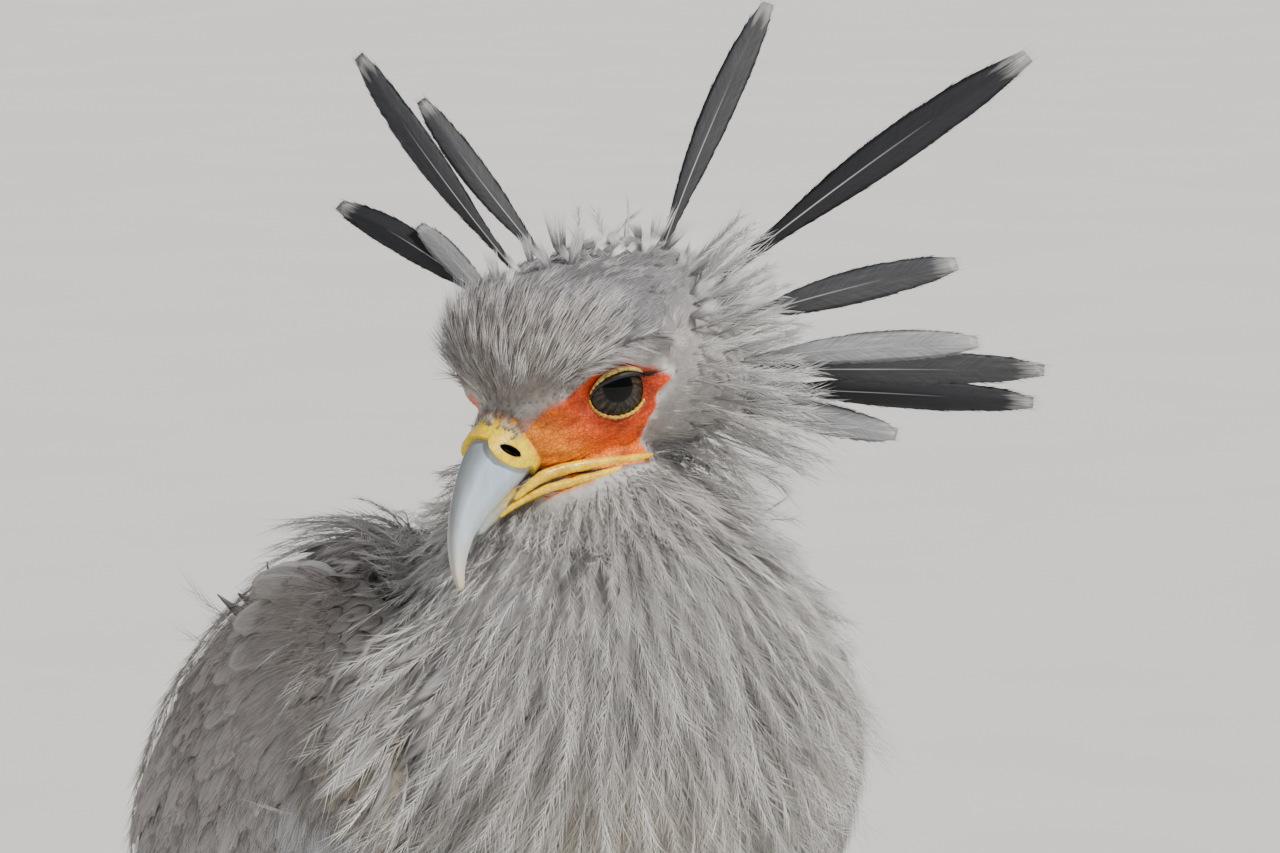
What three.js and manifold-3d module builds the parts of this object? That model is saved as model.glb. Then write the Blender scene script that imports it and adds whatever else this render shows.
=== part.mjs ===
import * as THREE from "three";
import { mergeVertices } from "three/addons/utils/BufferGeometryUtils.js";
import Module from "manifold-3d";

// A secretary bird at rest on its own two feet, life size, in millimetres, +Z up.
// It faces -Y, its left is +X, and its head is turned to its right. The floor is Z = 0.

const wasm = await Module();
wasm.setup();
const { Manifold } = wasm;

// Driving sizes
const GAP = 0.35; // between neighbouring nodes
const FINEST = 0.002; // shortest edge kept in a node
const TRUE_TO = 0.08; // how far a face may move when small faces are merged
const EYE_HEIGHT = 895;
const HEAD_AT = [-14, -95, EYE_HEIGHT]; // midway between the eyes
const HEAD_TURN = -62; // degrees about Z, to the bird's right
const HEAD_NOD = 28; // degrees, bill down
const EYE_RADIUS = 13.5;
const EYE_SPREAD = 16.5; // from the midline to each eye's centre
const EYE_TURN = -24; // degrees by which each eye looks ahead of straight out
const FACE_FRONT = 25; // where the cere begins, along the slant of its edges
const CERE_FRONT = 35.6; // where the horn begins
const NAPE_CUT = 22; // behind the eyes, where the crest's node begins
const HEAD_CUT_HEIGHT = 857;
const NECK_CUT_HEIGHT = 806;
const NECK_CUT_TILT = 18; // degrees, lower at the front
const TAIL_DROP = 33; // degrees below level
const FOOT_HALF_STANCE = 60;
const FOOT_BACK = 32; // Y of the ankle's foot end
const SOLE = 0;
const SEED = 11;

// Colours
const GREY = { color: 0xb4b1ae, roughness: 0.9 };
const PALE = { color: 0xc9c5c0, roughness: 0.9 };
const BLACK = { color: 0x1c1b1f, roughness: 0.8 };
const ORANGE = { color: 0xd9642a, roughness: 0.6 };
const YELLOW = { color: 0xe6c22e, roughness: 0.5 };
const HORN = { color: 0xb9c4cc, roughness: 0.35 };
const IRIS = { color: 0x2a2620, roughness: 0.1 };
const SCALY = { color: 0xc79a86, roughness: 0.7 };
const CLAW = { color: 0x2b2725, roughness: 0.5 };

const vec = (x, y, z) => new THREE.Vector3(x, y, z);
const radians = THREE.MathUtils.degToRad;
const mix = THREE.MathUtils.lerp;
const { clamp } = THREE.MathUtils;

// A seeded draw between -1 and 1, so that each build is the same
let state = SEED;
function draw() {
  state = (state * 16807) % 2147483647;
  return (state / 2147483647) * 2 - 1;
}

// Solids

function solidOf(positions, index, weld = 1e-4) {
  const bare = new THREE.BufferGeometry();
  bare.setAttribute("position", new THREE.Float32BufferAttribute(positions, 3));
  bare.setIndex(index);
  const merged = mergeVertices(bare, weld);
  const triVerts = new Uint32Array(merged.index.array);
  const vertProperties = new Float32Array(merged.attributes.position.array);
  const made = new Manifold(new wasm.Mesh({ numProp: 3, vertProperties, triVerts }));
  if (made.volume() > 0) return made;
  for (let i = 0; i < triVerts.length; i += 3) {
    [triVerts[i + 1], triVerts[i + 2]] = [triVerts[i + 2], triVerts[i + 1]];
  }
  return new Manifold(new wasm.Mesh({ numProp: 3, vertProperties, triVerts }));
}

function solidOfGeometry(geometry) {
  return solidOf([...geometry.attributes.position.array], [...geometry.index.array]);
}

function largest(solid) {
  return solid.decompose().reduce((a, b) => (b.volume() > a.volume() ? b : a));
}

const joined = (pieces) => largest(Manifold.union(pieces));

// The same solid with its shortest edges closed up, and any sliver that this parts from it dropped
function cleaned(solid) {
  const { vertProperties, triVerts } = solid.simplify(TRUE_TO).getMesh();
  return largest(solidOf([...vertProperties], [...triVerts], FINEST));
}

// The same solid with its skin moved out by an amount, to cut a neighbour clear of it
function puffed(solid, amount = GAP) {
  const mesh = solid.getMesh();
  const geometry = new THREE.BufferGeometry();
  const points = new Float32Array(mesh.numVert * 3);
  for (let i = 0; i < mesh.numVert; i++) {
    points.set(mesh.vertProperties.subarray(i * mesh.numProp, i * mesh.numProp + 3), i * 3);
  }
  geometry.setAttribute("position", new THREE.BufferAttribute(points, 3));
  geometry.setIndex([...mesh.triVerts]);
  geometry.computeVertexNormals();
  const normals = geometry.attributes.normal.array;
  return solidOf(
    [...points].map((value, i) => value + amount * normals[i]),
    [...mesh.triVerts],
  );
}

function ellipsoid(centre, radii, sides = 12, rings = 8) {
  const ball = new THREE.SphereGeometry(1, sides, rings);
  ball.scale(...radii);
  ball.translate(...centre);
  return solidOfGeometry(ball);
}

function moved(solid, object) {
  object.updateMatrixWorld(true);
  return solid.transform(object.matrixWorld.elements);
}

// A spine through stations of [x, y, z, half-width, half-height above, half-height below].
// One that wraps is bent round the bird's own middle, as a folded wing is round the flank.
class Spine {
  constructor(stations, wrap = false) {
    this.line = new THREE.CatmullRomCurve3(stations.map(([x, y, z]) => vec(x, y, z)));
    this.sizes = new THREE.CatmullRomCurve3(stations.map((s) => vec(s[3], s[4], s[5])));
    this.wrap = wrap;
  }

  frame(t) {
    const along = this.line.getTangent(t);
    const below = along.clone().cross(vec(1, 0, 0)).normalize();
    return { at: this.line.getPoint(t), along, below, size: this.sizes.getPoint(t) };
  }

  // A point of the surface: height runs from -1 above to 1 below, on the side given
  surface(t, height, side, shrink = 1) {
    const { at, below, size } = this.frame(t);
    const drop = height * (height > 0 ? size.z : size.y) * shrink;
    const reach = side * size.x * Math.sqrt(Math.max(0, 1 - height * height)) * shrink;
    if (!this.wrap) return at.clone().addScaledVector(below, drop).add(vec(reach, 0, 0));
    const turn = drop / Math.abs(at.x);
    const across = vec(Math.sign(at.x), 0, 0);
    const out = across.clone().multiplyScalar(Math.cos(turn)).addScaledVector(below, Math.sin(turn));
    return at.clone()
      .addScaledVector(across, -Math.abs(at.x))
      .addScaledVector(out, Math.abs(at.x) + reach * Math.sign(at.x));
  }

  // The surface point with its lie, its outward face and the way down
  seat(t, height, side) {
    const step = 0.01;
    const at = this.surface(t, height, side);
    const lie = this.surface(t + step, height, side).sub(this.surface(t - step, height, side));
    const down = this.surface(t, height + step, side).sub(this.surface(t, height - step, side));
    const face = lie.clone().cross(down).normalize();
    if (face.dot(at.clone().sub(this.line.getPoint(t))) < 0) face.negate();
    return { at, along: lie.normalize(), down: down.normalize(), face };
  }
}

// A closed round body on a spine. Its ends round off over the share given.
function bodyOn(spine, { rings, sides, end = 0.1, relief = null }) {
  const ball = new THREE.SphereGeometry(1, sides, rings);
  const position = ball.attributes.position;
  const points = [];
  for (let i = 0; i < position.count; i++) {
    const p = vec().fromBufferAttribute(position, i);
    const t = Math.acos(clamp(p.y, -1, 1)) / Math.PI;
    const angle = Math.atan2(p.z, p.x);
    const near = Math.min(t, 1 - t) / end;
    const round = near < 1 ? Math.sqrt(Math.max(0, 1 - (1 - near) ** 2)) : 1;
    const swell = relief ? relief(t, angle) : 1;
    const height = Math.sin(angle);
    const side = Math.sign(Math.cos(angle)) || 1;
    points.push(...spine.surface(t, height, side, round * swell).toArray());
  }
  return solidOf(points, [...ball.index.array]);
}

// Feathers

// Each form is the vane's half-width along the shaft, as a share of its widest
const FLIGHT = [0.45, 1, 0.92, 0.3];
const COVERT = [0.6, 1, 0.88, 0.3];
const PLUME = [0.16, 0.36, 0.85, 0.95, 0.3];
const LOCK = [0.9, 1, 0.12];

// A flat vane on a bent shaft. bend curls it towards its face and sweep to its side, in radians
// and roll tips it about the shaft, so that neighbours lap like tiles
function vane(lock) {
  const { root, along, face, length, width, form } = lock;
  const { bend = 0, sweep = 0, roll = 0, thick = 0.6, shaft = 0 } = lock;
  const side = face.clone().cross(along).normalize().applyAxisAngle(along, roll);
  const up = along.clone().cross(side).normalize();
  const curl = bend || 1e-4;
  const points = [];
  const ringSize = shaft ? 6 : 4;
  form.forEach((share, i) => {
    const t = i / (form.length - 1);
    const turn = curl * t;
    const centre = root
      .clone()
      .addScaledVector(along, (length * Math.sin(turn)) / curl)
      .addScaledVector(up, (length * (1 - Math.cos(turn))) / curl)
      .addScaledVector(side, (length * sweep * t * t) / 2);
    const out = up.clone().multiplyScalar(Math.cos(turn)).addScaledVector(along, -Math.sin(turn));
    const half = (width * share) / 2;
    const edge = (thick / 2) * (t === 1 ? 0.6 : 1);
    const ridge = mix(shaft, thick, t) / 2;
    const at = (across, rise) => centre.clone().addScaledVector(side, across).addScaledVector(out, rise);
    const ring = shaft
      ? [at(-half, edge), at(0, ridge), at(half, edge), at(half, -edge), at(0, -ridge), at(-half, -edge)]
      : [at(-half, edge), at(half, edge), at(half, -edge), at(-half, -edge)];
    ring.forEach((p) => points.push(...p.toArray()));
  });
  const index = [];
  const middle = ringSize / 2;
  for (let i = 0; i < form.length - 1; i++) {
    for (let k = 0; k < ringSize; k++) {
      const a = i * ringSize + k;
      const b = i * ringSize + ((k + 1) % ringSize);
      const [c, d] = [a + ringSize, b + ringSize];
      // The upper and lower faces are split the same way
      if (k < middle) index.push(a, d, b, a, c, d);
      else index.push(a, c, b, b, c, d);
    }
  }
  const last = (form.length - 1) * ringSize;
  for (let k = 1; k < ringSize - 1; k++) {
    index.push(0, k, k + 1);
    index.push(last, last + k + 1, last + k);
  }
  return solidOf(points, index);
}

// Head, in its own frame: X to the bird's left, Y back, Z up, from the point midway between the eyes

const headGroup = new THREE.Group();
headGroup.position.set(...HEAD_AT);
headGroup.rotation.order = "ZXY";
headGroup.rotation.set(radians(HEAD_NOD), 0, radians(HEAD_TURN));

const eyes = [-1, 1].map((side) => ellipsoid([side * EYE_SPREAD, 0, 0], Array(3).fill(EYE_RADIUS), 12, 8));

// The bill, its cere and the face are sliced from each other by slanting planes.
// A slice holds what lies ahead of its first plane and behind its second, in mm from the eyes.
const SLANT = [0, -0.876, -0.482];
function slice(solid, from, to) {
  let piece = solid;
  if (from !== null) piece = piece.trimByPlane(SLANT, from + GAP);
  if (to !== null) piece = piece.trimByPlane(SLANT.map((c) => -c), -to);
  return largest(piece);
}

function makeBillWhole() {
  return bodyOn(new Spine([
    [0, -20, -4, 12, 12, 13],
    [0, -32, -4, 11, 12, 13],
    [0, -42, -5.5, 10.8, 12, 13.4],
    [0, -52, -8.5, 9, 10.6, 11.4],
    [0, -62, -13.4, 6.4, 8.6, 7.8],
    [0, -69, -20, 4.4, 6.2, 5.2],
    [0, -73, -27.5, 2.6, 3.8, 3.2],
    [0, -74.5, -34.5, 1.2, 1.7, 1.5],
  ]), { rings: 14, sides: 12, end: 0.05 });
}

function makeCereWhole() {
  const saddle = new Spine([
    [0, -16, -3, 15, 14, 14],
    [0, -30, -3.6, 13.6, 14, 14],
    [0, -40, -4.6, 12, 13.4, 14],
    [0, -52, -7, 9, 12, 13],
  ]);
  const nostrils = [-1, 1].map((side) => {
    const slot = new THREE.SphereGeometry(1, 8, 6);
    slot.scale(3, 3.6, 1.5);
    slot.rotateX(radians(-24));
    slot.translate(side * 11.4, -37, 1.4);
    return solidOfGeometry(slot);
  });
  return Manifold.difference([bodyOn(saddle, { rings: 5, sides: 12, end: 0.05 }), ...nostrils]);
}

function makeJawWhole() {
  return bodyOn(new Spine([
    [0, 6, -31, 13, 3, 4],
    [0, -14, -28, 12, 5, 5],
    [0, -30, -24.4, 9.6, 5, 5],
    [0, -45, -22.6, 6.4, 4, 4.2],
    [0, -56, -22.8, 3.6, 3, 3],
    [0, -62, -23.6, 1.6, 1.6, 1.6],
  ]), { rings: 9, sides: 10, end: 0.08 });
}

// A rounded lid round each eye, and the raised lips of the gape
function makeLid(side) {
  const ring = new THREE.TorusGeometry(11.6, 2.1, 5, 12);
  ring.rotateY(Math.PI / 2);
  ring.scale(1, 1, 0.82);
  ring.rotateX(radians(-14));
  ring.translate(side * 8.4, 0, 0);
  ring.rotateZ(radians(side * EYE_TURN));
  ring.translate(side * EYE_SPREAD, 0, 0);
  return solidOfGeometry(ring);
}

function makeLip(side) {
  const lip = new Spine([
    [side * 11.6, -33, -16.6, 2, 2, 1.8],
    [side * 15.2, -18, -20.6, 2.4, 2.2, 1.8],
    [side * 19, -4, -25.4, 2.6, 2.2, 1.8],
    [side * 21.4, 6, -28.6, 2.2, 1.8, 1.6],
  ]);
  return bodyOn(lip, { rings: 6, sides: 6, end: 0.15 });
}

function makeHeadWhole() {
  const skull = new Spine([
    [0, -37, -4, 11, 12, 12],
    [0, -28, -2, 16, 18, 19],
    [0, -12, 0, 23, 28, 25],
    [0, 6, 1, 31, 36, 31],
    [0, 22, 0, 41, 39, 40],
    [0, 36, -3, 41, 35, 42],
    [0, 48, -9, 27, 22, 33],
  ]);
  const whole = joined([
    bodyOn(skull, { rings: 9, sides: 14, end: 0.1 }),
    ellipsoid([0, 4, 16], [45, 37, 26]), // crown
    ellipsoid([0, 32, -10], [45, 25, 34]), // cheeks
    ellipsoid([0, 18, -30], [20, 26, 14]), // chin
  ]);
  // The bare face lies deeper than the feathers round it
  const scoops = [-1, 1].map((side) =>
    ellipsoid([0, 0, 0], [16, 27, 17], 12, 8)
      .rotate([0, 0, side * EYE_TURN])
      .translate([side * 39.5, -9, 2]),
  );
  return largest(Manifold.difference([whole, ...scoops]));
}

// Crest feathers: [side, behind and above the eyes at the root, azimuth from straight back
// to the bird's left, elevation, length, width]
const CREST = [
  [-42, 18, 10, -92, 36, 72, 10],
  [-43, 18, 8, -81, 48, 46, 8],
  [-35, 28, 11, -71, 42, 112, 9.5],
  [-27, 35, 11, -70, 39, 92, 9],
  [-3, 45, 5, 2, 33, 110, 10],
  [7, 46, -2, 30, 13, 146, 12.5],
  [13, 43, -8, 48, -2, 93, 11],
  [16, 39, -18, 55, -9, 95, 10],
  [13, 41, -20, 40, -24, 118, 11],
  [10, 41, -27, 35, -28, 117, 10],
  [16, 38, -24, 59, -30, 67, 10],
];

function crestFeather([x, y, z, azimuth, elevation, length, width]) {
  const [a, e] = [radians(azimuth), radians(elevation)];
  const along = vec(Math.sin(a) * Math.cos(e), Math.cos(a) * Math.cos(e), Math.sin(e));
  // The vane's face looks towards the bill as far as its shaft allows
  const face = vec(0.1, -1, 0.25).addScaledVector(along, -vec(0.1, -1, 0.25).dot(along)).normalize();
  return vane({
    root: vec(x, y, z).addScaledVector(along, -4),
    along,
    face,
    length: length + 4,
    width,
    form: PLUME,
    bend: -0.18,
    thick: 1,
  });
}

// Short pale feathers that stand up round the crest's roots
function napeFringe() {
  const count = 10;
  return Array.from({ length: count }, (_, i) => {
    const round = mix(-1.25, 1.35, i / (count - 1)) + draw() * 0.05;
    const out = vec(Math.sin(round), Math.cos(round) * 0.75, 0.55 + draw() * 0.2).normalize();
    const root = vec(Math.sin(round) * 33, 30 + Math.cos(round) * 16, 20 - Math.abs(round) * 7);
    const face = vec(0, -1, 0.2).addScaledVector(out, -vec(0, -1, 0.2).dot(out)).normalize();
    return vane({
      root,
      along: out,
      face,
      length: 30 + draw() * 5,
      width: 13,
      form: LOCK,
      bend: -0.3,
      thick: 0.8,
    });
  });
}

const cere = slice(makeCereWhole(), FACE_FRONT, CERE_FRONT);
const upperBill = slice(makeBillWhole(), CERE_FRONT, null);
const lowerBill = largest(Manifold.difference([
  slice(makeJawWhole(), FACE_FRONT, null),
  puffed(cere),
  puffed(makeBillWhole()),
]));

// Neck and torso, modelled whole with the head and parted with thin cuts

const neckSpine = new Spine([
  [-10, -58, 888, 14, 11, 13],
  [-9, -62, 872, 28, 25, 28],
  [-7, -68, 858, 38, 35, 38],
  [-4, -76, 842, 51, 47, 51],
  [0, -80, 810, 76, 60, 70],
  [0, -60, 778, 86, 66, 78],
  [0, -30, 752, 78, 62, 70],
]);
const torsoSpine = new Spine([
  [0, -78, 815, 56, 42, 60],
  [0, -62, 785, 82, 58, 74],
  [0, -22, 748, 98, 84, 92],
  [0, 40, 712, 101, 93, 97],
  [0, 110, 676, 88, 80, 84],
  [0, 170, 644, 62, 56, 60],
  [0, 218, 620, 35, 31, 33],
]);

// Locks of the loose coat in staggered rows: heights run from -1 above to 1 below on each side
function locksOn(spine, { rows, from, to, perSide, top, low, length, cover = 0.92, lift, bend }) {
  const locks = [];
  for (let row = 0; row < rows; row++) {
    const t = mix(from, to, row / Math.max(1, rows - 1));
    for (const side of [-1, 1]) {
      for (let i = 0; i < perSide; i++) {
        const share = (i + (row % 2 ? 0.75 : 0.25)) / perSide;
        const height = Math.sin(mix(Math.asin(top), Math.asin(low), share));
        const seat = spine.seat(t + draw() * 0.01, height, side);
        const { x, y, z } = spine.frame(t).size;
        const arc = ((x + y + z) / 3) * (Math.asin(low) - Math.asin(top));
        const rise = radians(lift + draw() * 4);
        const along = seat.along.clone().multiplyScalar(Math.cos(rise)).addScaledVector(seat.face, Math.sin(rise));
        const out = seat.face.clone().multiplyScalar(Math.cos(rise)).addScaledVector(seat.along, -Math.sin(rise));
        locks.push(
          vane({
            root: seat.at.clone().addScaledVector(seat.face, -5),
            along: along.addScaledVector(seat.down, draw() * 0.12).normalize(),
            face: out,
            length: length * (1 + draw() * 0.15),
            width: (cover * arc) / perSide,
            form: LOCK,
            bend,
            roll: side * 0.12,
            thick: 1.2,
          }),
        );
      }
    }
  }
  return locks;
}

headGroup.updateMatrixWorld(true);
const toHead = headGroup.matrixWorld.clone().invert().elements;
const neckBody = bodyOn(neckSpine, { rings: 8, sides: 14, end: 0.08 });
const torsoBody = bodyOn(torsoSpine, { rings: 10, sides: 14, end: 0.1 });

// The head takes in the top of the neck, down to a level cut
const headFloor = vec(0, 0, 1).transformDirection(headGroup.matrixWorld.clone().invert());
const headFloorAt = HEAD_CUT_HEIGHT + GAP - EYE_HEIGHT;
const headSkin = joined([makeHeadWhole(), makeLid(-1), makeLid(1), makeLip(-1), makeLip(1),
  neckBody.transform(toHead)]).trimByPlane(headFloor.toArray(), headFloorAt);
const [napeHalf, faceHalf] = headSkin.splitByPlane([0, 1, 0], NAPE_CUT);
const face = slice(
  Manifold.difference([faceHalf.trimByPlane([0, -1, 0], GAP - NAPE_CUT), ...eyes.map((eye) => puffed(eye))]),
  null,
  FACE_FRONT,
);
const nape = largest(joined([napeHalf, ...CREST.map(crestFeather), ...napeFringe()])
  .trimByPlane([0, 1, 0], NAPE_CUT)
  .trimByPlane(headFloor.toArray(), headFloorAt));

const cutAcross = [0, -Math.sin(radians(NECK_CUT_TILT)), Math.cos(radians(NECK_CUT_TILT))];
const cutAt = NECK_CUT_HEIGHT * cutAcross[2] - 80 * cutAcross[1];
const aboveCut = (solid) => solid.trimByPlane(cutAcross, cutAt);
const belowCut = (solid) => solid.trimByPlane(cutAcross.map((c) => -c), GAP - cutAt);
const trunk = joined([neckBody, torsoBody]);

const breastLocks = locksOn(torsoSpine, {
  rows: 3, from: 0.2, to: 0.42, perSide: 3, top: 0.3, low: 1,
  length: 74, lift: 9, bend: -0.06,
});
const torsoPieces = [trunk, ...breastLocks].map(belowCut);
const torso = joined(torsoPieces);

const neckLocks = locksOn(neckSpine, {
  rows: 3, from: 0.3, to: 0.62, perSide: 4, top: -1, low: 1,
  length: 58, lift: 12, bend: -0.08,
});
const neckWhole = joined([aboveCut(trunk), ...neckLocks]).trimByPlane([0, 0, -1], -HEAD_CUT_HEIGHT);
const torsoCutters = torsoPieces.map((piece) => puffed(piece));
const billInPlace = [makeBillWhole(), lowerBill].map((solid) => puffed(moved(solid, headGroup), 2 * GAP));
const neck = largest(Manifold.difference([neckWhole, ...torsoCutters, ...billInPlace]));
const trunkCutters = [trunk, ...breastLocks, ...neckLocks].map((piece) => puffed(piece));

// Tail: five pairs of quills under two long central streamers

const TAIL_ROOT = vec(0, 214, 622);

function makeTail() {
  const drop = radians(TAIL_DROP);
  const back = vec(0, Math.cos(drop), -Math.sin(drop));
  const top = vec(0, Math.sin(drop), Math.cos(drop));
  const spine = new Spine([
    [0, 196, 633, 32, 26, 26],
    [0, 230, 611, 30, 20, 20],
    [0, 268, 586, 24, 11, 11],
    [0, 300, 565, 15, 5, 5],
  ]);
  const quills = [];
  for (let pair = 1; pair <= 5; pair++) {
    for (const side of [-1, 1]) {
      const spread = radians(2.2 * pair) * side;
      const along = back.clone().multiplyScalar(Math.cos(spread)).add(vec(Math.sin(spread), 0, 0));
      quills.push(vane({
        root: TAIL_ROOT.clone().addScaledVector(back, 18)
          .add(vec(side * pair * 4, 0, 0)).addScaledVector(top, 3 - pair * 2.6 + side * 1.3),
        along: along.normalize(),
        face: top,
        length: 350 - pair * 12,
        width: 46,
        form: FLIGHT,
        bend: -0.06,
        thick: 1,
      }));
    }
  }
  for (const [side, length] of [[-1, 640], [1, 600]]) {
    const spread = radians(1.5) * side;
    quills.push(vane({
      root: TAIL_ROOT.clone().addScaledVector(back, 14).add(vec(side * 8, 0, 0)).addScaledVector(top, 4 + side * 1.5),
      along: back.clone().add(vec(Math.sin(spread), 0, 0)).normalize(),
      face: top,
      length,
      width: 42,
      form: [0.4, 0.95, 1, 0.85, 0.3],
      bend: -0.16,
      shaft: 2.8,
      thick: 1,
    }));
  }
  return [bodyOn(spine, { rings: 5, sides: 8, end: 0.2 }), ...quills];
}

// Wings, folded along the flanks

function wingSpine(side) {
  return new Spine([
    [side * 70, -104, 794, 7, 28, 28],
    [side * 87, -72, 779, 14, 66, 56],
    [side * 99, -8, 747, 17, 106, 74],
    [side * 101, 64, 713, 17, 118, 76],
    [side * 89, 134, 680, 14, 98, 60],
    [side * 71, 200, 649, 9, 66, 42],
    [side * 57, 246, 628, 5, 40, 26],
  ], true);
}

// One tier of vanes, each rooted in the wing's skin and turned down from its lie
function tier(spine, side, { count, t, height, length, width, turn, lift, form, bend, shaft = 0 }) {
  return Array.from({ length: count }, (_, i) => {
    const share = count > 1 ? i / (count - 1) : 0;
    const of = (range) => mix(range[0], range[1], share);
    const seat = spine.seat(of(t), of(height), side);
    const angle = radians(of(turn) + draw() * 1.5);
    const rise = radians(of(lift));
    const lie = seat.along.clone().multiplyScalar(Math.cos(angle)).addScaledVector(seat.down, Math.sin(angle));
    return vane({
      root: seat.at.clone().addScaledVector(seat.face, -3.5).addScaledVector(lie, -4),
      along: lie.clone().multiplyScalar(Math.cos(rise)).addScaledVector(seat.face, Math.sin(rise)),
      face: seat.face.clone().multiplyScalar(Math.cos(rise)).addScaledVector(lie, -Math.sin(rise)),
      length: of(length) * (1 + draw() * 0.03),
      width: of(width),
      form,
      bend: of(bend),
      roll: side * 0.25,
      thick: 0.8,
      shaft,
    });
  });
}

function makeWing(side) {
  const spine = wingSpine(side);
  const feathers = [
    { count: 3, t: [0.12, 0.34], height: [0.1, -0.25], length: [66, 74], width: [48, 46], turn: [32, 8],
      lift: [8, 8], form: COVERT, bend: [-0.24, -0.2] },
    { count: 4, t: [0.14, 0.56], height: [0.42, 0], length: [82, 104], width: [52, 48], turn: [42, 6],
      lift: [8, 6], form: COVERT, bend: [-0.26, -0.16] },
    { count: 5, t: [0.2, 0.78], height: [0.68, 0.3], length: [112, 170], width: [50, 42], turn: [36, 4],
      lift: [6, 4], form: COVERT, bend: [-0.36, -0.12] },
    { count: 3, t: [0.76, 0.88], height: [0.3, -0.1], length: [215, 290], width: [38, 32], turn: [2, -3],
      lift: [1, 2], form: FLIGHT, bend: [-0.08, -0.06] },
    { count: 3, t: [0.27, 0.64], height: [-0.42, -0.32], length: [104, 150], width: [50, 44], turn: [2, 0],
      lift: [8, 5], form: COVERT, bend: [-0.22, -0.1] },
    { count: 3, t: [0.28, 0.66], height: [-0.82, -0.72], length: [96, 140], width: [50, 44], turn: [2, 2],
      lift: [8, 5], form: COVERT, bend: [-0.22, -0.1] },
  ].flatMap((row) => tier(spine, side, row));
  return joined([bodyOn(spine, { rings: 8, sides: 10, end: 0.08 }), ...feathers]);
}

// Legs

function thighSpine(side) {
  return new Spine([
    [side * 46, 22, 676, 38, 46, 48],
    [side * 52, 18, 612, 43, 52, 54],
    [side * 55, 18, 540, 37, 43, 45],
    [side * 57, 28, 460, 26, 29, 31],
    [side * 59, 42, 392, 17, 18, 19],
    [side * 60, 52, 348, 12, 13, 13],
  ]);
}

function makeThigh(side) {
  const spine = thighSpine(side);
  const locks = locksOn(spine, {
    rows: 2, from: 0.56, to: 0.8, perSide: 3, top: -1, low: 1,
    length: 70, lift: 8, bend: -0.05,
  });
  return [bodyOn(spine, { rings: 8, sides: 10, end: 0.06 }), ...locks];
}

// Broad scutes lap down the front of the shank
function makeShank(side) {
  const scutes = 12;
  const scute = (t, angle) => {
    const front = Math.max(0, Math.sin(angle));
    const step = (t * scutes) % 1;
    return 1 + (step > 0.25 ? 0.14 : 0) * front;
  };
  const spine = new Spine([
    [side * 60, 50, 366, 7, 8, 7],
    [side * 60, 56, 346, 7.6, 8.6, 8],
    [side * 60, 60, 326, 10.5, 12.5, 11],
    [side * 60, 58, 306, 8.6, 10, 9.4],
    [side * 60, 53, 245, 6, 7, 6.4],
    [side * 60, 43, 140, 5.8, 6.6, 6.2],
    [side * 60, 36, 56, 6.8, 7.6, 7.2],
    [side * 60, FOOT_BACK, 26, 9, 10, 9],
    [side * 60, FOOT_BACK, 14, 9, 10, 9],
  ]);
  return bodyOn(spine, { rings: 2 * scutes, sides: 8, end: 0.03, relief: scute });
}

// Toes: [name, degrees from straight ahead to the outer side, length, half-thickness]
const TOES = [
  ["middle", 4, 64, 7.2],
  ["inner", -34, 48, 6.6],
  ["outer", 40, 50, 6.4],
  ["hind", 172, 27, 5.6],
];
const CLAW_LENGTH = 17;

function toeWay(side, degrees) {
  const a = radians(degrees);
  return vec(side * Math.sin(a), -Math.cos(a), 0);
}

function makeToe(side, [, degrees, length, half]) {
  const way = toeWay(side, degrees);
  const across = vec(-way.y, way.x, 0);
  const toe = new THREE.SphereGeometry(1, 7, 7);
  const position = toe.attributes.position;
  const points = [];
  const pads = 2;
  for (let i = 0; i < position.count; i++) {
    const p = vec().fromBufferAttribute(position, i);
    const t = Math.acos(clamp(p.y, -1, 1)) / Math.PI;
    const near = Math.min(t, 1 - t) / 0.14;
    const round = near < 1 ? Math.sqrt(Math.max(0, 1 - (1 - near) ** 2)) : 1;
    const pad = 1 + 0.1 * Math.cos(t * pads * 2 * Math.PI);
    const size = mix(half * 1.15, half * 0.78, t) * round * pad;
    const flat = Math.hypot(p.x, p.z) || 1;
    const at = vec(side * FOOT_HALF_STANCE, FOOT_BACK, SOLE + size * 0.78)
      .addScaledVector(way, t * length)
      .addScaledVector(across, (p.x / flat) * size);
    at.z += (p.z / flat) * size;
    points.push(...at.toArray());
  }
  return solidOf(points, [...toe.index.array]);
}

function makeFoot(side) {
  const centre = [side * FOOT_HALF_STANCE, FOOT_BACK, 8];
  const pad = ellipsoid(centre, [15, 15, 12], 10, 6);
  return joined([pad, ...TOES.map((toe) => makeToe(side, toe))]).trimByPlane([0, 0, 1], SOLE);
}

// A blunt curved claw that starts at the toe's tip and ends just clear of the floor
function makeClaw(side, [, degrees, length, half]) {
  const way = toeWay(side, degrees);
  const root = vec(side * FOOT_HALF_STANCE, FOOT_BACK, SOLE + half * 0.8).addScaledVector(way, length - 4);
  const across = vec(-way.y, way.x, 0);
  const ball = new THREE.SphereGeometry(1, 5, 4);
  const position = ball.attributes.position;
  const points = [];
  for (let i = 0; i < position.count; i++) {
    const p = vec().fromBufferAttribute(position, i);
    const t = Math.acos(clamp(p.y, -1, 1)) / Math.PI;
    const size = half * 0.62 * Math.sin(Math.PI * Math.min(0.5, t * 2.2)) * (1 - t) ** 0.8 + 0.05;
    const flat = Math.hypot(p.x, p.z);
    const at = root.clone().addScaledVector(way, t * CLAW_LENGTH);
    at.z += 4 * t - 6.2 * t * t;
    if (flat > 1e-6) {
      at.addScaledVector(across, (p.x / flat) * size * 0.8);
      at.z += (p.z / flat) * size;
    }
    points.push(...at.toArray());
  }
  return solidOf(points, [...ball.index.array]).trimByPlane([0, 0, 1], SOLE + 0.2);
}

// The whole bird

const bird = new THREE.Group();

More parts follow.
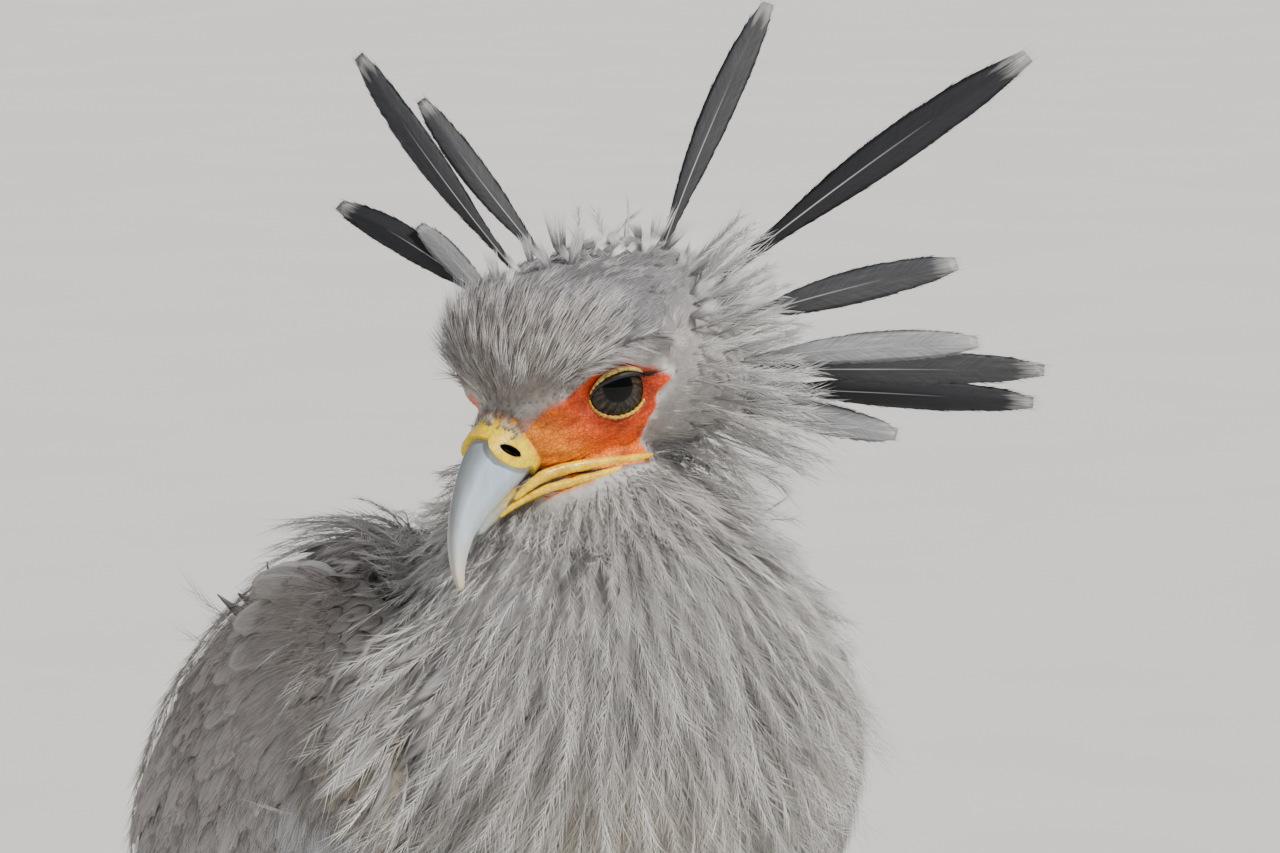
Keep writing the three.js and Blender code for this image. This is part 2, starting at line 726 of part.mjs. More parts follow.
function addNode(parent, name, solid, look) {
  const mesh = cleaned(solid).getMesh();
  const geometry = new THREE.BufferGeometry();
  geometry.setAttribute("position", new THREE.BufferAttribute(new Float32Array(mesh.vertProperties), 3));
  geometry.setIndex([...mesh.triVerts]);
  geometry.computeVertexNormals();
  const made = new THREE.Mesh(geometry, new THREE.MeshStandardMaterial({ metalness: 0, ...look }));
  made.name = name;
  parent.add(made);
}

addNode(headGroup, "head", face, GREY);
addNode(headGroup, "crest", nape, BLACK);
addNode(headGroup, "cere", cere, YELLOW);
addNode(headGroup, "bill_upper", upperBill, HORN);
addNode(headGroup, "bill_lower", lowerBill, YELLOW);
addNode(headGroup, "eye_right", eyes[0], IRIS);
addNode(headGroup, "eye_left", eyes[1], IRIS);
bird.add(headGroup);

addNode(bird, "neck", neck, PALE);
addNode(bird, "torso", torso, PALE);

const tailPieces = makeTail();
const tail = largest(Manifold.difference([joined(tailPieces), ...trunkCutters]));
addNode(bird, "tail", tail, BLACK);
const neighbours = [...trunkCutters, ...tailPieces.map((piece) => puffed(piece))];

for (const [name, side] of [["right", -1], ["left", 1]]) {
  const wing = largest(Manifold.difference([makeWing(side), ...neighbours]).trimByPlane([side, 0, 0], GAP / 2));
  const thighPieces = makeThigh(side);
  const thigh = largest(Manifold.difference([joined(thighPieces), ...neighbours, puffed(wing.hull())]));
  const foot = makeFoot(side);
  const shank = largest(Manifold.difference([makeShank(side), ...thighPieces.map((piece) => puffed(piece)), puffed(foot)]));
  addNode(bird, `wing_${name}`, wing, GREY);
  addNode(bird, `thigh_${name}`, thigh, BLACK);
  addNode(bird, `shank_${name}`, shank, SCALY);
  addNode(bird, `foot_${name}`, foot, SCALY);
  for (const toe of TOES) {
    const claw = largest(makeClaw(side, toe).subtract(puffed(foot)));
    addNode(bird, `claw_${name}_${toe[0]}`, claw, CLAW);
  }
}

// The origin is on the floor, under the middle of the bird's bounds
bird.updateMatrixWorld(true);
const bounds = new THREE.Box3().setFromObject(bird, true);
const middle = bounds.getCenter(vec());
bird.position.set(-middle.x, -middle.y, -bounds.min.z);

export default bird;
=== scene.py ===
import math

import bmesh
import bpy
import numpy as np
from bpy.props import FloatProperty, FloatVectorProperty, PointerProperty
from mathutils import Matrix, Vector
from mathutils.bvhtree import BVHTree
from mathutils.kdtree import KDTree


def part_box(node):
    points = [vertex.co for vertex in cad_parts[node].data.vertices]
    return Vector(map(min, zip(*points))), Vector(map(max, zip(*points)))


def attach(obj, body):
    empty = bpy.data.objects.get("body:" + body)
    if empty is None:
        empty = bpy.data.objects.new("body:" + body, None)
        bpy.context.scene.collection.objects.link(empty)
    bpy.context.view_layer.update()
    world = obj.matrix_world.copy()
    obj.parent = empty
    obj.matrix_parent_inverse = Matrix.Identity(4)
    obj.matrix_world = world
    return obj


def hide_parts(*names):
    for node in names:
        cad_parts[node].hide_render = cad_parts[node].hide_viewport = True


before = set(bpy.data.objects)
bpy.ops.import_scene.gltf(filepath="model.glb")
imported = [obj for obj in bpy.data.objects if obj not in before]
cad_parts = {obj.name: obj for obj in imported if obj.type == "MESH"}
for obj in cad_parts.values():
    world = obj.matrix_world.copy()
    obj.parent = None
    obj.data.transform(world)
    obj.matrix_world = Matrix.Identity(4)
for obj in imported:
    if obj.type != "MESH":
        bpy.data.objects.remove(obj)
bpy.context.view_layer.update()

bl_info = {
    "name": "Secretary Bird",
    "version": (1, 0, 0),
    "blender": (4, 5, 0),
    "location": "View3D > Sidebar > Bird",
    "description": "Dresses the packed bird with skin, eyes, bill, scales and a full coat of feathers",
    "category": "Add Mesh",
}

# The model's own measures, in millimetres

HEAD_AT = (-14, -95, 895)
HEAD_TURN = -62
HEAD_NOD = 28
EYE_RADIUS = 13.5
EYE_SPREAD = 16.5
EYE_TURN = -24
EYE_TILT = 14
EYE_OPENING = (10.9, 7.8)
EYE_AHEAD = 1.1
FACE_FRONT = 25
CERE_FRONT = 35.6
SLANT = np.array([0, -0.876, -0.482])
FOOT_HALF_STANCE = 60
FOOT_BACK = 32
TAIL_ROOT = np.array([0, 214, 622])
TAIL_DROP = 33

HEAD = (
    Matrix.Translation(HEAD_AT)
    @ Matrix.Rotation(math.radians(HEAD_TURN), 4, "Z")
    @ Matrix.Rotation(math.radians(HEAD_NOD), 4, "X")
)
HEAD_ROTATION = np.array(HEAD.to_3x3())


def unit(v):
    return v / np.maximum(np.linalg.norm(v, axis=-1, keepdims=True), 1e-9)


def from_head(points):
    return np.asarray(points, float) @ HEAD_ROTATION.T + HEAD_AT


def to_head(points):
    return (np.asarray(points, float) - HEAD_AT) @ HEAD_ROTATION


# The frame's origin is under the middle of the bird, so the own measures are shifted to meet the left eye
EYE_LOW, EYE_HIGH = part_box("eye_left")
SHIFT = (np.array(EYE_LOW) + np.array(EYE_HIGH)) * 500 - from_head([[EYE_SPREAD, 0, 0]])[0]


def linear(code):
    """A written colour as the linear numbers that shaders use."""
    parts = [int(code[i : i + 2], 16) / 255 for i in (1, 3, 5)]
    return np.array([c / 12.92 if c <= 0.04045 else ((c + 0.055) / 1.055) ** 2.4 for c in parts])


def step(value, low, high):
    """0 below low, 1 above high, smooth between."""
    t = np.clip((value - low) / (high - low), 0, 1)
    return t * t * (3 - 2 * t)


def blend(a, b, share):
    return a + (b - a) * np.asarray(share)[..., None]


def ripple(points, size, seed):
    """Soft noise from -1 to 1 whose bumps are about size across."""
    random = np.random.default_rng(seed)
    total = 0
    for _ in range(7):
        way = unit(random.normal(size=3)) * random.uniform(0.6, 1.5)
        total = total + np.sin(points @ way * 3.2 / size + random.uniform(0, 6.3))
    return total / 3.2


# Curves and spines, as the solids use them


class Curve:
    """A smooth curve through points, evenly shared among them."""

    def __init__(self, points):
        p = np.array(points, float)
        self.points = np.vstack([2 * p[0] - p[1], p, 2 * p[-1] - p[-2]])

    def at(self, t):
        t = np.clip(np.asarray(t, float), 0, 1)
        spans = len(self.points) - 3
        k = np.minimum((t * spans).astype(int), spans - 1)
        w = (t * spans - k)[..., None]
        p0, p1, p2, p3 = (self.points[k + i] for i in range(4))
        gaps = [np.sum((b - a) ** 2, -1, keepdims=True) ** 0.25 for a, b in ((p0, p1), (p1, p2), (p2, p3))]
        middle = np.where(gaps[1] < 1e-4, 1, gaps[1])
        first = np.where(gaps[0] < 1e-4, middle, gaps[0])
        last = np.where(gaps[2] < 1e-4, middle, gaps[2])
        t1 = ((p1 - p0) / first - (p2 - p0) / (first + middle) + (p2 - p1) / middle) * middle
        t2 = ((p2 - p1) / middle - (p3 - p1) / (middle + last) + (p3 - p2) / last) * middle
        return p1 + t1 * w + (-3 * p1 + 3 * p2 - 2 * t1 - t2) * w**2 + (2 * p1 - 2 * p2 + t1 + t2) * w**3

    def along(self, t):
        t = np.asarray(t, float)
        return unit(self.at(np.clip(t + 1e-4, 0, 1)) - self.at(np.clip(t - 1e-4, 0, 1)))


class Spine:
    """A line of stations, each a place with its half-width and its half-heights above and below.

    One that wraps is bent round the bird's middle, as a folded wing is round the flank.
    """

    def __init__(self, stations, wrap=False):
        rows = np.array(stations, float)
        self.line = Curve(rows[:, :3])
        self.sizes = Curve(rows[:, 3:])
        self.wrap = wrap

    def surface(self, t, height, side, shrink=1.0, inset=0.0):
        t, height, side, shrink = (np.asarray(v, float) for v in np.broadcast_arrays(t, height, side, shrink))
        at = self.line.at(t)
        along = self.line.along(t)
        below = unit(np.cross(along, [1.0, 0, 0]))
        size = np.maximum(self.sizes.at(t) - inset, 0.5)
        drop = height * np.where(height > 0, size[..., 2], size[..., 1]) * shrink
        reach = side * size[..., 0] * np.sqrt(np.maximum(0, 1 - height**2)) * shrink
        across = np.array([1.0, 0, 0])
        if not self.wrap:
            return at + below * drop[..., None] + across * reach[..., None]
        wide = at[..., 0]
        turn = (drop / np.abs(wide))[..., None]
        outward = np.sign(wide)[..., None] * across
        out = outward * np.cos(turn) + below * np.sin(turn)
        return at - across * wide[..., None] + out * (np.abs(wide) + reach * np.sign(wide))[..., None]

    def seat(self, t, height, side):
        """Each surface point with its lie, its way down and its outward face."""
        near = 0.01
        at = self.surface(t, height, side)
        lie = self.surface(t + near, height, side) - self.surface(t - near, height, side)
        down = self.surface(t, height + near, side) - self.surface(t, height - near, side)
        face = unit(np.cross(lie, down))
        outward = np.sum(face * (at - self.line.at(t)), -1, keepdims=True)
        return at, unit(lie), unit(down), np.where(outward < 0, -face, face)

    def nearest(self, points, count=60):
        """The share of the way along at which each point lies."""
        shares = np.linspace(0, 1, count)
        marks = self.line.at(shares)
        gaps = ((points[:, None, :] - marks[None]) ** 2).sum(-1)
        return shares[gaps.argmin(1)]


# Towards the right of the picture, upward and towards the viewer, as the head's own directions
VIEW_RIGHT, VIEW_UP, VIEW_OUT = np.array([[0.695, 0.635, -0.338], [0, 0.469, 0.883], [0.719, -0.614, 0.326]])

SKULL = Spine([
    [0, -37, -4, 11, 12, 12], [0, -28, -2, 16, 18, 19], [0, -12, 0, 23, 28, 25], [0, 6, 1, 31, 36, 31],
    [0, 22, 0, 41, 39, 40], [0, 36, -3, 41, 35, 42], [0, 48, -9, 27, 22, 33],
])
BILL = Spine([
    [0, -20, -4, 10.4, 10.8, 12], [0, -32, -4, 9.8, 10.8, 12], [0, -42, -5.6, 9.3, 10.4, 11.6],
    [0, -52, -8.9, 7.4, 8.5, 9.2], [0, -62, -14.2, 5, 6.1, 5.8], [0, -69, -21, 3.3, 4.2, 3.7],
    [0, -73, -28, 2, 2.7, 2.2], [0, -74.7, -34.5, 1.0, 1.5, 1.2],
])
SADDLE = Spine([
    [0, -18, -3, 11, 10, 12], [0, -28, -3.4, 12, 12, 13.4], [0, -36, -4.4, 10.8, 11.8, 13.4],
    [0, -44, -5.4, 9.6, 11, 12.6], [0, -52, -7, 8, 10.5, 12],
])
JAW = Spine([
    [0, 6, -29.5, 12, 3, 3.5], [0, -14, -25.2, 11, 4, 4.6], [0, -30, -21.2, 8.4, 4, 4.4],
    [0, -45, -19.2, 5.4, 3.2, 3.6], [0, -55, -20.2, 3, 2.2, 2.4], [0, -60, -22, 1.4, 1.2, 1.2],
])
NECK = Spine([
    [-10, -58, 888, 14, 11, 13], [-9, -62, 872, 28, 25, 28], [-7, -68, 858, 38, 35, 38],
    [-4, -76, 842, 51, 47, 51], [0, -80, 810, 76, 60, 70], [0, -60, 778, 86, 66, 78], [0, -30, 752, 78, 62, 70],
])
TORSO = Spine([
    [0, -78, 815, 56, 42, 60], [0, -62, 785, 82, 58, 74], [0, -22, 748, 98, 84, 92], [0, 40, 712, 101, 93, 97],
    [0, 110, 676, 88, 80, 84], [0, 170, 644, 62, 56, 60], [0, 218, 620, 35, 31, 33],
])
RUMP = Spine([
    [0, 196, 633, 32, 26, 26], [0, 230, 611, 30, 20, 20], [0, 268, 586, 24, 11, 11], [0, 300, 565, 15, 5, 5],
])


def lip_spines(side):
    """The yellow lips above and below the mouth line, from the gape's corner to the bill."""
    upper = [(21.6, 4, -28.9, 0.7), (20.4, -1, -27.2, 1.3), (18.4, -9.5, -23.4, 1.6), (15.6, -18.5, -19.4, 1.8),
             (13, -27, -16.2, 1.9), (11.2, -34, -14.6, 1.9), (9.4, -40, -15, 1.5), (7.4, -46, -16.6, 0.9)]
    lower = [(20.8, -7, -26.6, 0.6), (19.6, -14, -24.6, 1.2), (17, -21.5, -22.6, 1.4), (13.8, -28, -20.9, 1.4),
             (10.8, -34, -19.4, 1.4), (8.4, -40, -18.9, 1.2), (6.2, -46, -18.9, 1.0), (4, -52, -20, 0.7)]
    return [Spine([[side * x, y, z, r * 0.9, r, r] for x, y, z, r in row]) for row in (upper, lower)]


def wing_spine(side):
    # The left wing is held a little closer
    near = 0.87 if side > 0 else 1.06
    return Spine([
        [side * 70 * near, -104, 794, 7, 28, 28], [side * 87 * near, -72, 779, 14, 66, 56],
        [side * 99 * near, -8, 747, 17, 106, 74], [side * 101 * near, 64, 713, 17, 118, 76],
        [side * 89, 134, 680, 14, 98, 60], [side * 71, 200, 649, 9, 66, 42], [side * 57, 246, 628, 5, 40, 26],
    ], wrap=True)


def thigh_spine(side):
    return Spine([
        [side * 46, 22, 676, 38, 46, 48], [side * 52, 18, 612, 43, 52, 54], [side * 55, 18, 540, 37, 43, 45],
        [side * 57, 28, 460, 26, 29, 31], [side * 59, 42, 392, 17, 18, 19], [side * 60, 52, 348, 12, 13, 13],
    ])


def shank_spine(side):
    return Spine([
        [side * 60, 50, 366, 7, 8, 7], [side * 60, 56, 346, 7.6, 8.6, 8], [side * 60, 60, 326, 10.5, 12.5, 11],
        [side * 60, 58, 306, 8.6, 10, 9.4], [side * 60, 53, 245, 6, 7, 6.4], [side * 60, 43, 140, 5.8, 6.6, 6.2],
        [side * 60, 36, 56, 6.8, 7.6, 7.2], [side * 60, FOOT_BACK, 26, 9, 10, 9], [side * 60, FOOT_BACK, 14, 9, 10, 9],
    ])


# Toes: name, degrees from straight ahead to the outer side, length, half-thickness
TOES = (("middle", 4, 64, 7.2), ("inner", -34, 48, 6.6), ("outer", 40, 50, 6.4), ("hind", 172, 27, 5.6))
CLAW_LENGTH = 17

# Crest feathers: place of the root, azimuth from straight back to the bird's left, elevation, length, width
CREST = (
    (-42, 18, 10, -92, 36, 72, 10), (-43, 18, 8, -81, 48, 46, 8), (-35, 28, 11, -71, 42, 112, 9.5),
    (-27, 35, 11, -70, 39, 92, 9), (-3, 45, 5, 2, 33, 110, 10), (7, 46, -2, 30, 13, 146, 12.5),
    (13, 43, -8, 48, -2, 93, 11), (16, 39, -18, 55, -9, 95, 10), (13, 41, -20, 40, -24, 118, 11),
    (10, 41, -27, 35, -28, 117, 10), (16, 38, -24, 59, -30, 67, 10),
)
# How much each crest feather bows sideways, and whether its face is pale
CREST_SWEEP = (0.3, 0.1, -0.12, -0.1, -0.14, -0.12, -0.14, -0.16, -0.08, -0.1, 0.1)
CREST_PALE = (0, 0.4, 0.04, 0.12, 0.08, 0, 0.12, 0.7, 0.08, 0, 0.6)

# The crown's broad tufts: root across and up in the viewer's plane, reach across and up, width
FRINGE = (
    (-24.9, 34, -2.6, 10.6, 5.3), (-13.3, 39.7, -2, 10.2, 4.4), (-3.4, 41.6, -2.3, 16.2, 8.4), (3.2, 43.9, -0.7, 7.6, 5),
    (9.8, 43.9, 0, 6.3, 5), (14.7, 44.9, -1, 5.3, 4.4), (23, 45.6, -2.7, 7.3, 5), (27.9, 45.6, 4.3, 14.8, 8.4),
    (39.5, 41.6, 7.2, 9.9, 8.4), (49.4, 32.4, 14.8, 9.2, 10.5), (54.3, 25.8, 13.2, 8.2, 8),
)

# The bare face seen from the side: how far back and how high each corner of its outline is
BARE_OUTLINE = np.array([
    (-37, 3), (-30, 6), (-26, 9.5), (-15.5, 10), (-7, 10), (0, 9), (6, 6.6), (9.5, 2.5), (11.4, -2.7), (9.6, -6),
    (7, -10), (5, -14.5), (4.2, -20), (5, -27), (3, -31), (-10.4, -25.6), (-18.4, -24), (-25, -23.2), (-31, -23), (-37, -22.5),
], float)


# Meshes


def positions(piece):
    flat = np.empty(len(piece.data.vertices) * 3, np.float32)
    piece.data.vertices.foreach_get("co", flat)
    return flat.reshape(-1, 3).astype(float)


def own_positions(piece):
    return positions(piece) * 1000 - SHIFT


def place(piece, points):
    """Puts a mesh's points at own measures, with its faces outward."""
    piece.data.vertices.foreach_set("co", ((points + SHIFT) / 1000).astype(np.float32).ravel())
    shape = bmesh.new()
    shape.from_mesh(piece.data)
    bmesh.ops.recalc_face_normals(shape, faces=shape.faces)
    shape.to_mesh(piece.data)
    shape.free()
    piece.data.update()
    return piece


def named(piece, name):
    piece.name = name
    piece.data.name = name
    return piece


def only(*pieces):
    bpy.ops.object.select_all(action="DESELECT")
    for piece in pieces:
        piece.select_set(True)
    bpy.context.view_layer.objects.active = pieces[0]


def ball(name, segments, rings):
    bpy.ops.object.select_all(action="DESELECT")
    bpy.ops.mesh.primitive_uv_sphere_add(segments=segments, ring_count=rings, radius=1)
    return named(bpy.context.object, name)


def body_on(name, spine, segments=48, rings=40, end=0.1, inset=0.0, relief=None, head=False, square=1.0):
    """A round closed body on a spine, made from a ball whose rings are slid along it."""
    piece = ball(name, segments, rings)
    co = unit(positions(piece))
    t = np.arccos(np.clip(co[:, 2], -1, 1)) / np.pi
    angle = np.arctan2(co[:, 1], co[:, 0])
    near = np.minimum(np.minimum(t, 1 - t) / end, 1)
    size = np.sqrt(np.maximum(0, 1 - (1 - near) ** 2))
    if relief:
        size = size * relief(t, angle)
    height = np.sin(angle)
    if square != 1.0:
        height = np.sign(height) * np.abs(height) ** square
    points = spine.surface(t, height, np.where(np.cos(angle) < 0, -1, 1), size, inset)
    return place(piece, from_head(points) if head else points)


def ellipsoid(name, centre, radii, segments=40, rings=28, head=False):
    piece = ball(name, segments, rings)
    points = unit(positions(piece)) * radii + centre
    return place(piece, from_head(points) if head else points)


def apply_modifier(piece, kind, **values):
    modifier = piece.modifiers.new(kind.title(), kind)
    for key, value in values.items():
        setattr(modifier, key, value)
    only(piece)
    bpy.ops.object.modifier_apply(modifier=modifier.name)


def joined(name, pieces):
    only(*pieces)
    if len(pieces) > 1:
        bpy.ops.object.join()
    return named(bpy.context.view_layer.objects.active, name)


def fused(name, pieces, voxel, rounds, factor=0.5):
    """One closed skin over several bodies, smoothed where they meet."""
    piece = joined(name, pieces)
    apply_modifier(piece, "REMESH", mode="VOXEL", voxel_size=voxel / 1000, use_smooth_shade=True)
    apply_modifier(piece, "SMOOTH", factor=factor, iterations=rounds)
    return piece


def cut_with(piece, cutter, operation="DIFFERENCE", solver="MANIFOLD"):
    apply_modifier(piece, "BOOLEAN", operation=operation, solver=solver, object=cutter)
    bpy.data.objects.remove(cutter, do_unlink=True)


def cut_plane(piece, normal, offset, keep_beyond):
    """Cuts a closed piece by a plane in own measures and closes the cut."""
    normal = np.array(normal, float)
    at = Vector((normal * offset + SHIFT) / 1000) if not isinstance(offset, tuple) else Vector(
        (np.array(offset) + SHIFT) / 1000)
    shape = bmesh.new()
    shape.from_mesh(piece.data)
    geometry = shape.verts[:] + shape.edges[:] + shape.faces[:]
    cut = bmesh.ops.bisect_plane(
        shape, geom=geometry, plane_co=at, plane_no=Vector(normal),
        clear_inner=keep_beyond, clear_outer=not keep_beyond,
    )
    rim = [e for e in cut["geom_cut"] if isinstance(e, bmesh.types.BMEdge)]
    bmesh.ops.contextual_create(shape, geom=rim)
    bmesh.ops.recalc_face_normals(shape, faces=shape.faces)
    shape.to_mesh(piece.data)
    shape.free()
    piece.data.update()
    return piece


def slice_face(piece, start, stop):
    """Keeps what lies between two slanting planes of the face, in millimetres ahead of the eyes."""
    normal = HEAD_ROTATION @ SLANT
    if start is not None:
        cut_plane(piece, normal, tuple(from_head(SLANT * start)), True)
    if stop is not None:
        cut_plane(piece, normal, tuple(from_head(SLANT * stop)), False)
    return piece


def smooth(piece, angle=None):
    only(piece)
    if angle is None:
        bpy.ops.object.shade_smooth()
    else:
        bpy.ops.object.shade_smooth_by_angle(angle=math.radians(angle))
    return piece


def set_values(piece, name, values, kind="FLOAT"):
    """Stores a number or a colour at each point of a mesh."""
    attribute = piece.data.attributes.new(name, kind, "POINT")
    if kind == "FLOAT_COLOR":
        values = np.hstack([values, np.ones((len(values), 4 - values.shape[1]))])
        attribute.data.foreach_set("color", values.astype(np.float32).ravel())
    else:
        attribute.data.foreach_set("value", np.asarray(values, np.float32))
    return piece


def finish_piece(piece, finish, replaces=()):
    piece.data.materials.clear()
    piece.data.materials.append(finish)
    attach(piece, "root")
    if replaces:
        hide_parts(*replaces)
    return piece


# Feather forms. Columns: along, across, up, and offsets across and up in thicknesses


class Form:
    """A small closed form laid out along a feather's shaft, to be copied by the thousand."""

    def __init__(self):
        self.rows = []
        self.faces = []

    def spike(self, start, stop, thick=1.0, steps=1, bow=(0, 0, 0)):
        """A tapering barb of three sides. Places are (along, across, up)."""
        start, stop, bow = np.array(start, float), np.array(stop, float), np.array(bow, float)
        base = len(self.rows)
        for i in range(steps):
            share = i / steps
            centre = start + (stop - start) * share + bow * 4 * share * (1 - share)
            radius = thick * (1 - share) ** 0.6
            for k in range(3):
                angle = 2 * math.pi * k / 3 + math.pi / 2
                self.rows.append([*centre, radius * math.cos(angle), radius * 0.8 * math.sin(angle)])
        self.rows.append([*stop, 0, 0])
        self.faces.append((base, base + 2, base + 1))
        for i in range(steps - 1):
            for k in range(3):
                a = base + 3 * i + k
                b = base + 3 * i + (k + 1) % 3
                self.faces += [(a, b, b + 3), (a, b + 3, a + 3)]
        last = base + 3 * (steps - 1)
        for k in range(3):
            self.faces.append((last + k, last + (k + 1) % 3, last + 3))
        return self

    def vane(self, outline, columns=4, cup=0.12, ridge=1.0, start=0.0, stop=1.0):
        """A thin closed blade, thickest along its shaft. The outline gives its half-width at even steps."""
        base = len(self.rows)
        rows = len(outline) - 1
        top, under = {}, {}
        for i, half in enumerate(outline):
            s = start + (stop - start) * i / rows
            for j in range(columns + 1):
                x = 2 * j / columns - 1
                rim = i in (0, rows) or j in (0, columns)
                rise = 0 if rim else 0.5 + ridge * max(0, 1 - 2.2 * abs(x))
                top[i, j] = len(self.rows) - base
                self.rows.append([s, x * half, -cup * x * x * half, 0, rise])
                under[i, j] = top[i, j]
                if not rim:
                    under[i, j] = len(self.rows) - base
                    self.rows.append([s, x * half, -cup * x * x * half, 0, -rise])
        for i in range(rows):
            for j in range(columns):
                a, b, c, d = (i, j), (i, j + 1), (i + 1, j + 1), (i + 1, j)
                # A corner is split from its inner point, so that its two faces don't share all their points
                halves = ((a, d, c), (a, c, b))
                if (i, j) in ((0, columns - 1), (rows - 1, 0)):
                    halves = ((a, d, b), (b, d, c))
                for corner in halves:
                    self.faces.append(tuple(base + top[k] for k in corner))
                    self.faces.append(tuple(base + under[k] for k in reversed(corner)))
        return self

    def arrays(self):
        return np.array(self.rows, float), np.array(self.faces, int)


def loose_feather(random, barbs=20, reach=0.26, shaft_steps=3, shaft=1.7, first=0.06, last=0.8, flat=0.3):
    """A shaft with fine separate barbs that part from it at a narrow angle on both sides."""
    form = Form().spike((0, 0, 0), (1, 0, 0), shaft, shaft_steps)
    for i in range(barbs):
        s = first + (last - first) * (i + random.uniform(-0.4, 0.4)) / barbs
        side = -1 if i % 2 else 1
        end = min(s + reach * random.uniform(0.75, 1.2), 1.05)
        form.spike((s, 0, 0), (end, side * random.uniform(0.45, 1.15), random.uniform(-flat, flat * 1.3)), 1.0)
    return form


def hair_tuft(random, barbs=6, spread=0.9, steps=1):
    """A few hair-like barbs from one root."""
    form = Form()
    for i in range(barbs):
        x = spread * ((i + 0.5) / barbs * 2 - 1) * random.uniform(0.7, 1.2)
        start = (random.uniform(0, 0.15), x * 0.3, 0)
        form.spike(start, (random.uniform(0.7, 1.1), x, random.uniform(-0.3, 0.4)), 1.0, steps)
    return form


def blade(random):
    """A soft leaf-shaped feather with few faces, for the layer beneath the strands."""
    return Form().vane([h * random.uniform(0.85, 1.1) for h in (0.3, 0.8, 1, 0.9, 0.55, 0.1)], 2, 0.25, 0.6)


def fringed(form, outline, random, count, reach, thick=0.8, tip_count=14, out=0.12):
    """Adds free barbs along a vane's edges and across its end."""
    shares = np.linspace(0, 1, len(outline))
    for _ in range(count):
        s = random.uniform(0.08, 0.95)
        side = 1 if random.random() < 0.5 else -1
        half = float(np.interp(s, shares, outline)) * 0.97
        end = min(s + reach * random.uniform(0.6, 1.2), 1.04)
        wide = float(np.interp(end, shares, outline))
        form.spike((s, side * half, -0.1 * half), (end, side * (max(wide, half) + out * random.uniform(0.3, 1.2)),
                                                   random.uniform(-0.2, 0.15)), thick)
    for i in range(tip_count):
        x = ((i + 0.5) / tip_count * 2 - 1) * outline[-2]
        form.spike((0.94, x * 0.9, -0.05), (random.uniform(0.99, 1.035), x * random.uniform(0.95, 1.15),
                                            random.uniform(-0.15, 0.1)), thick * 1.2)
    return form


PLUME = (0.12, 0.14, 0.2, 0.3, 0.46, 0.68, 0.86, 0.97, 1, 0.98, 0.9, 0.72, 0.36)
TILE = (0.34, 0.7, 0.9, 1, 1, 0.97, 0.88, 0.66, 0.22)
QUILL = (0.2, 0.52, 0.78, 0.9, 0.97, 1, 1, 0.99, 0.97, 0.93, 0.86, 0.72, 0.46, 0.14)


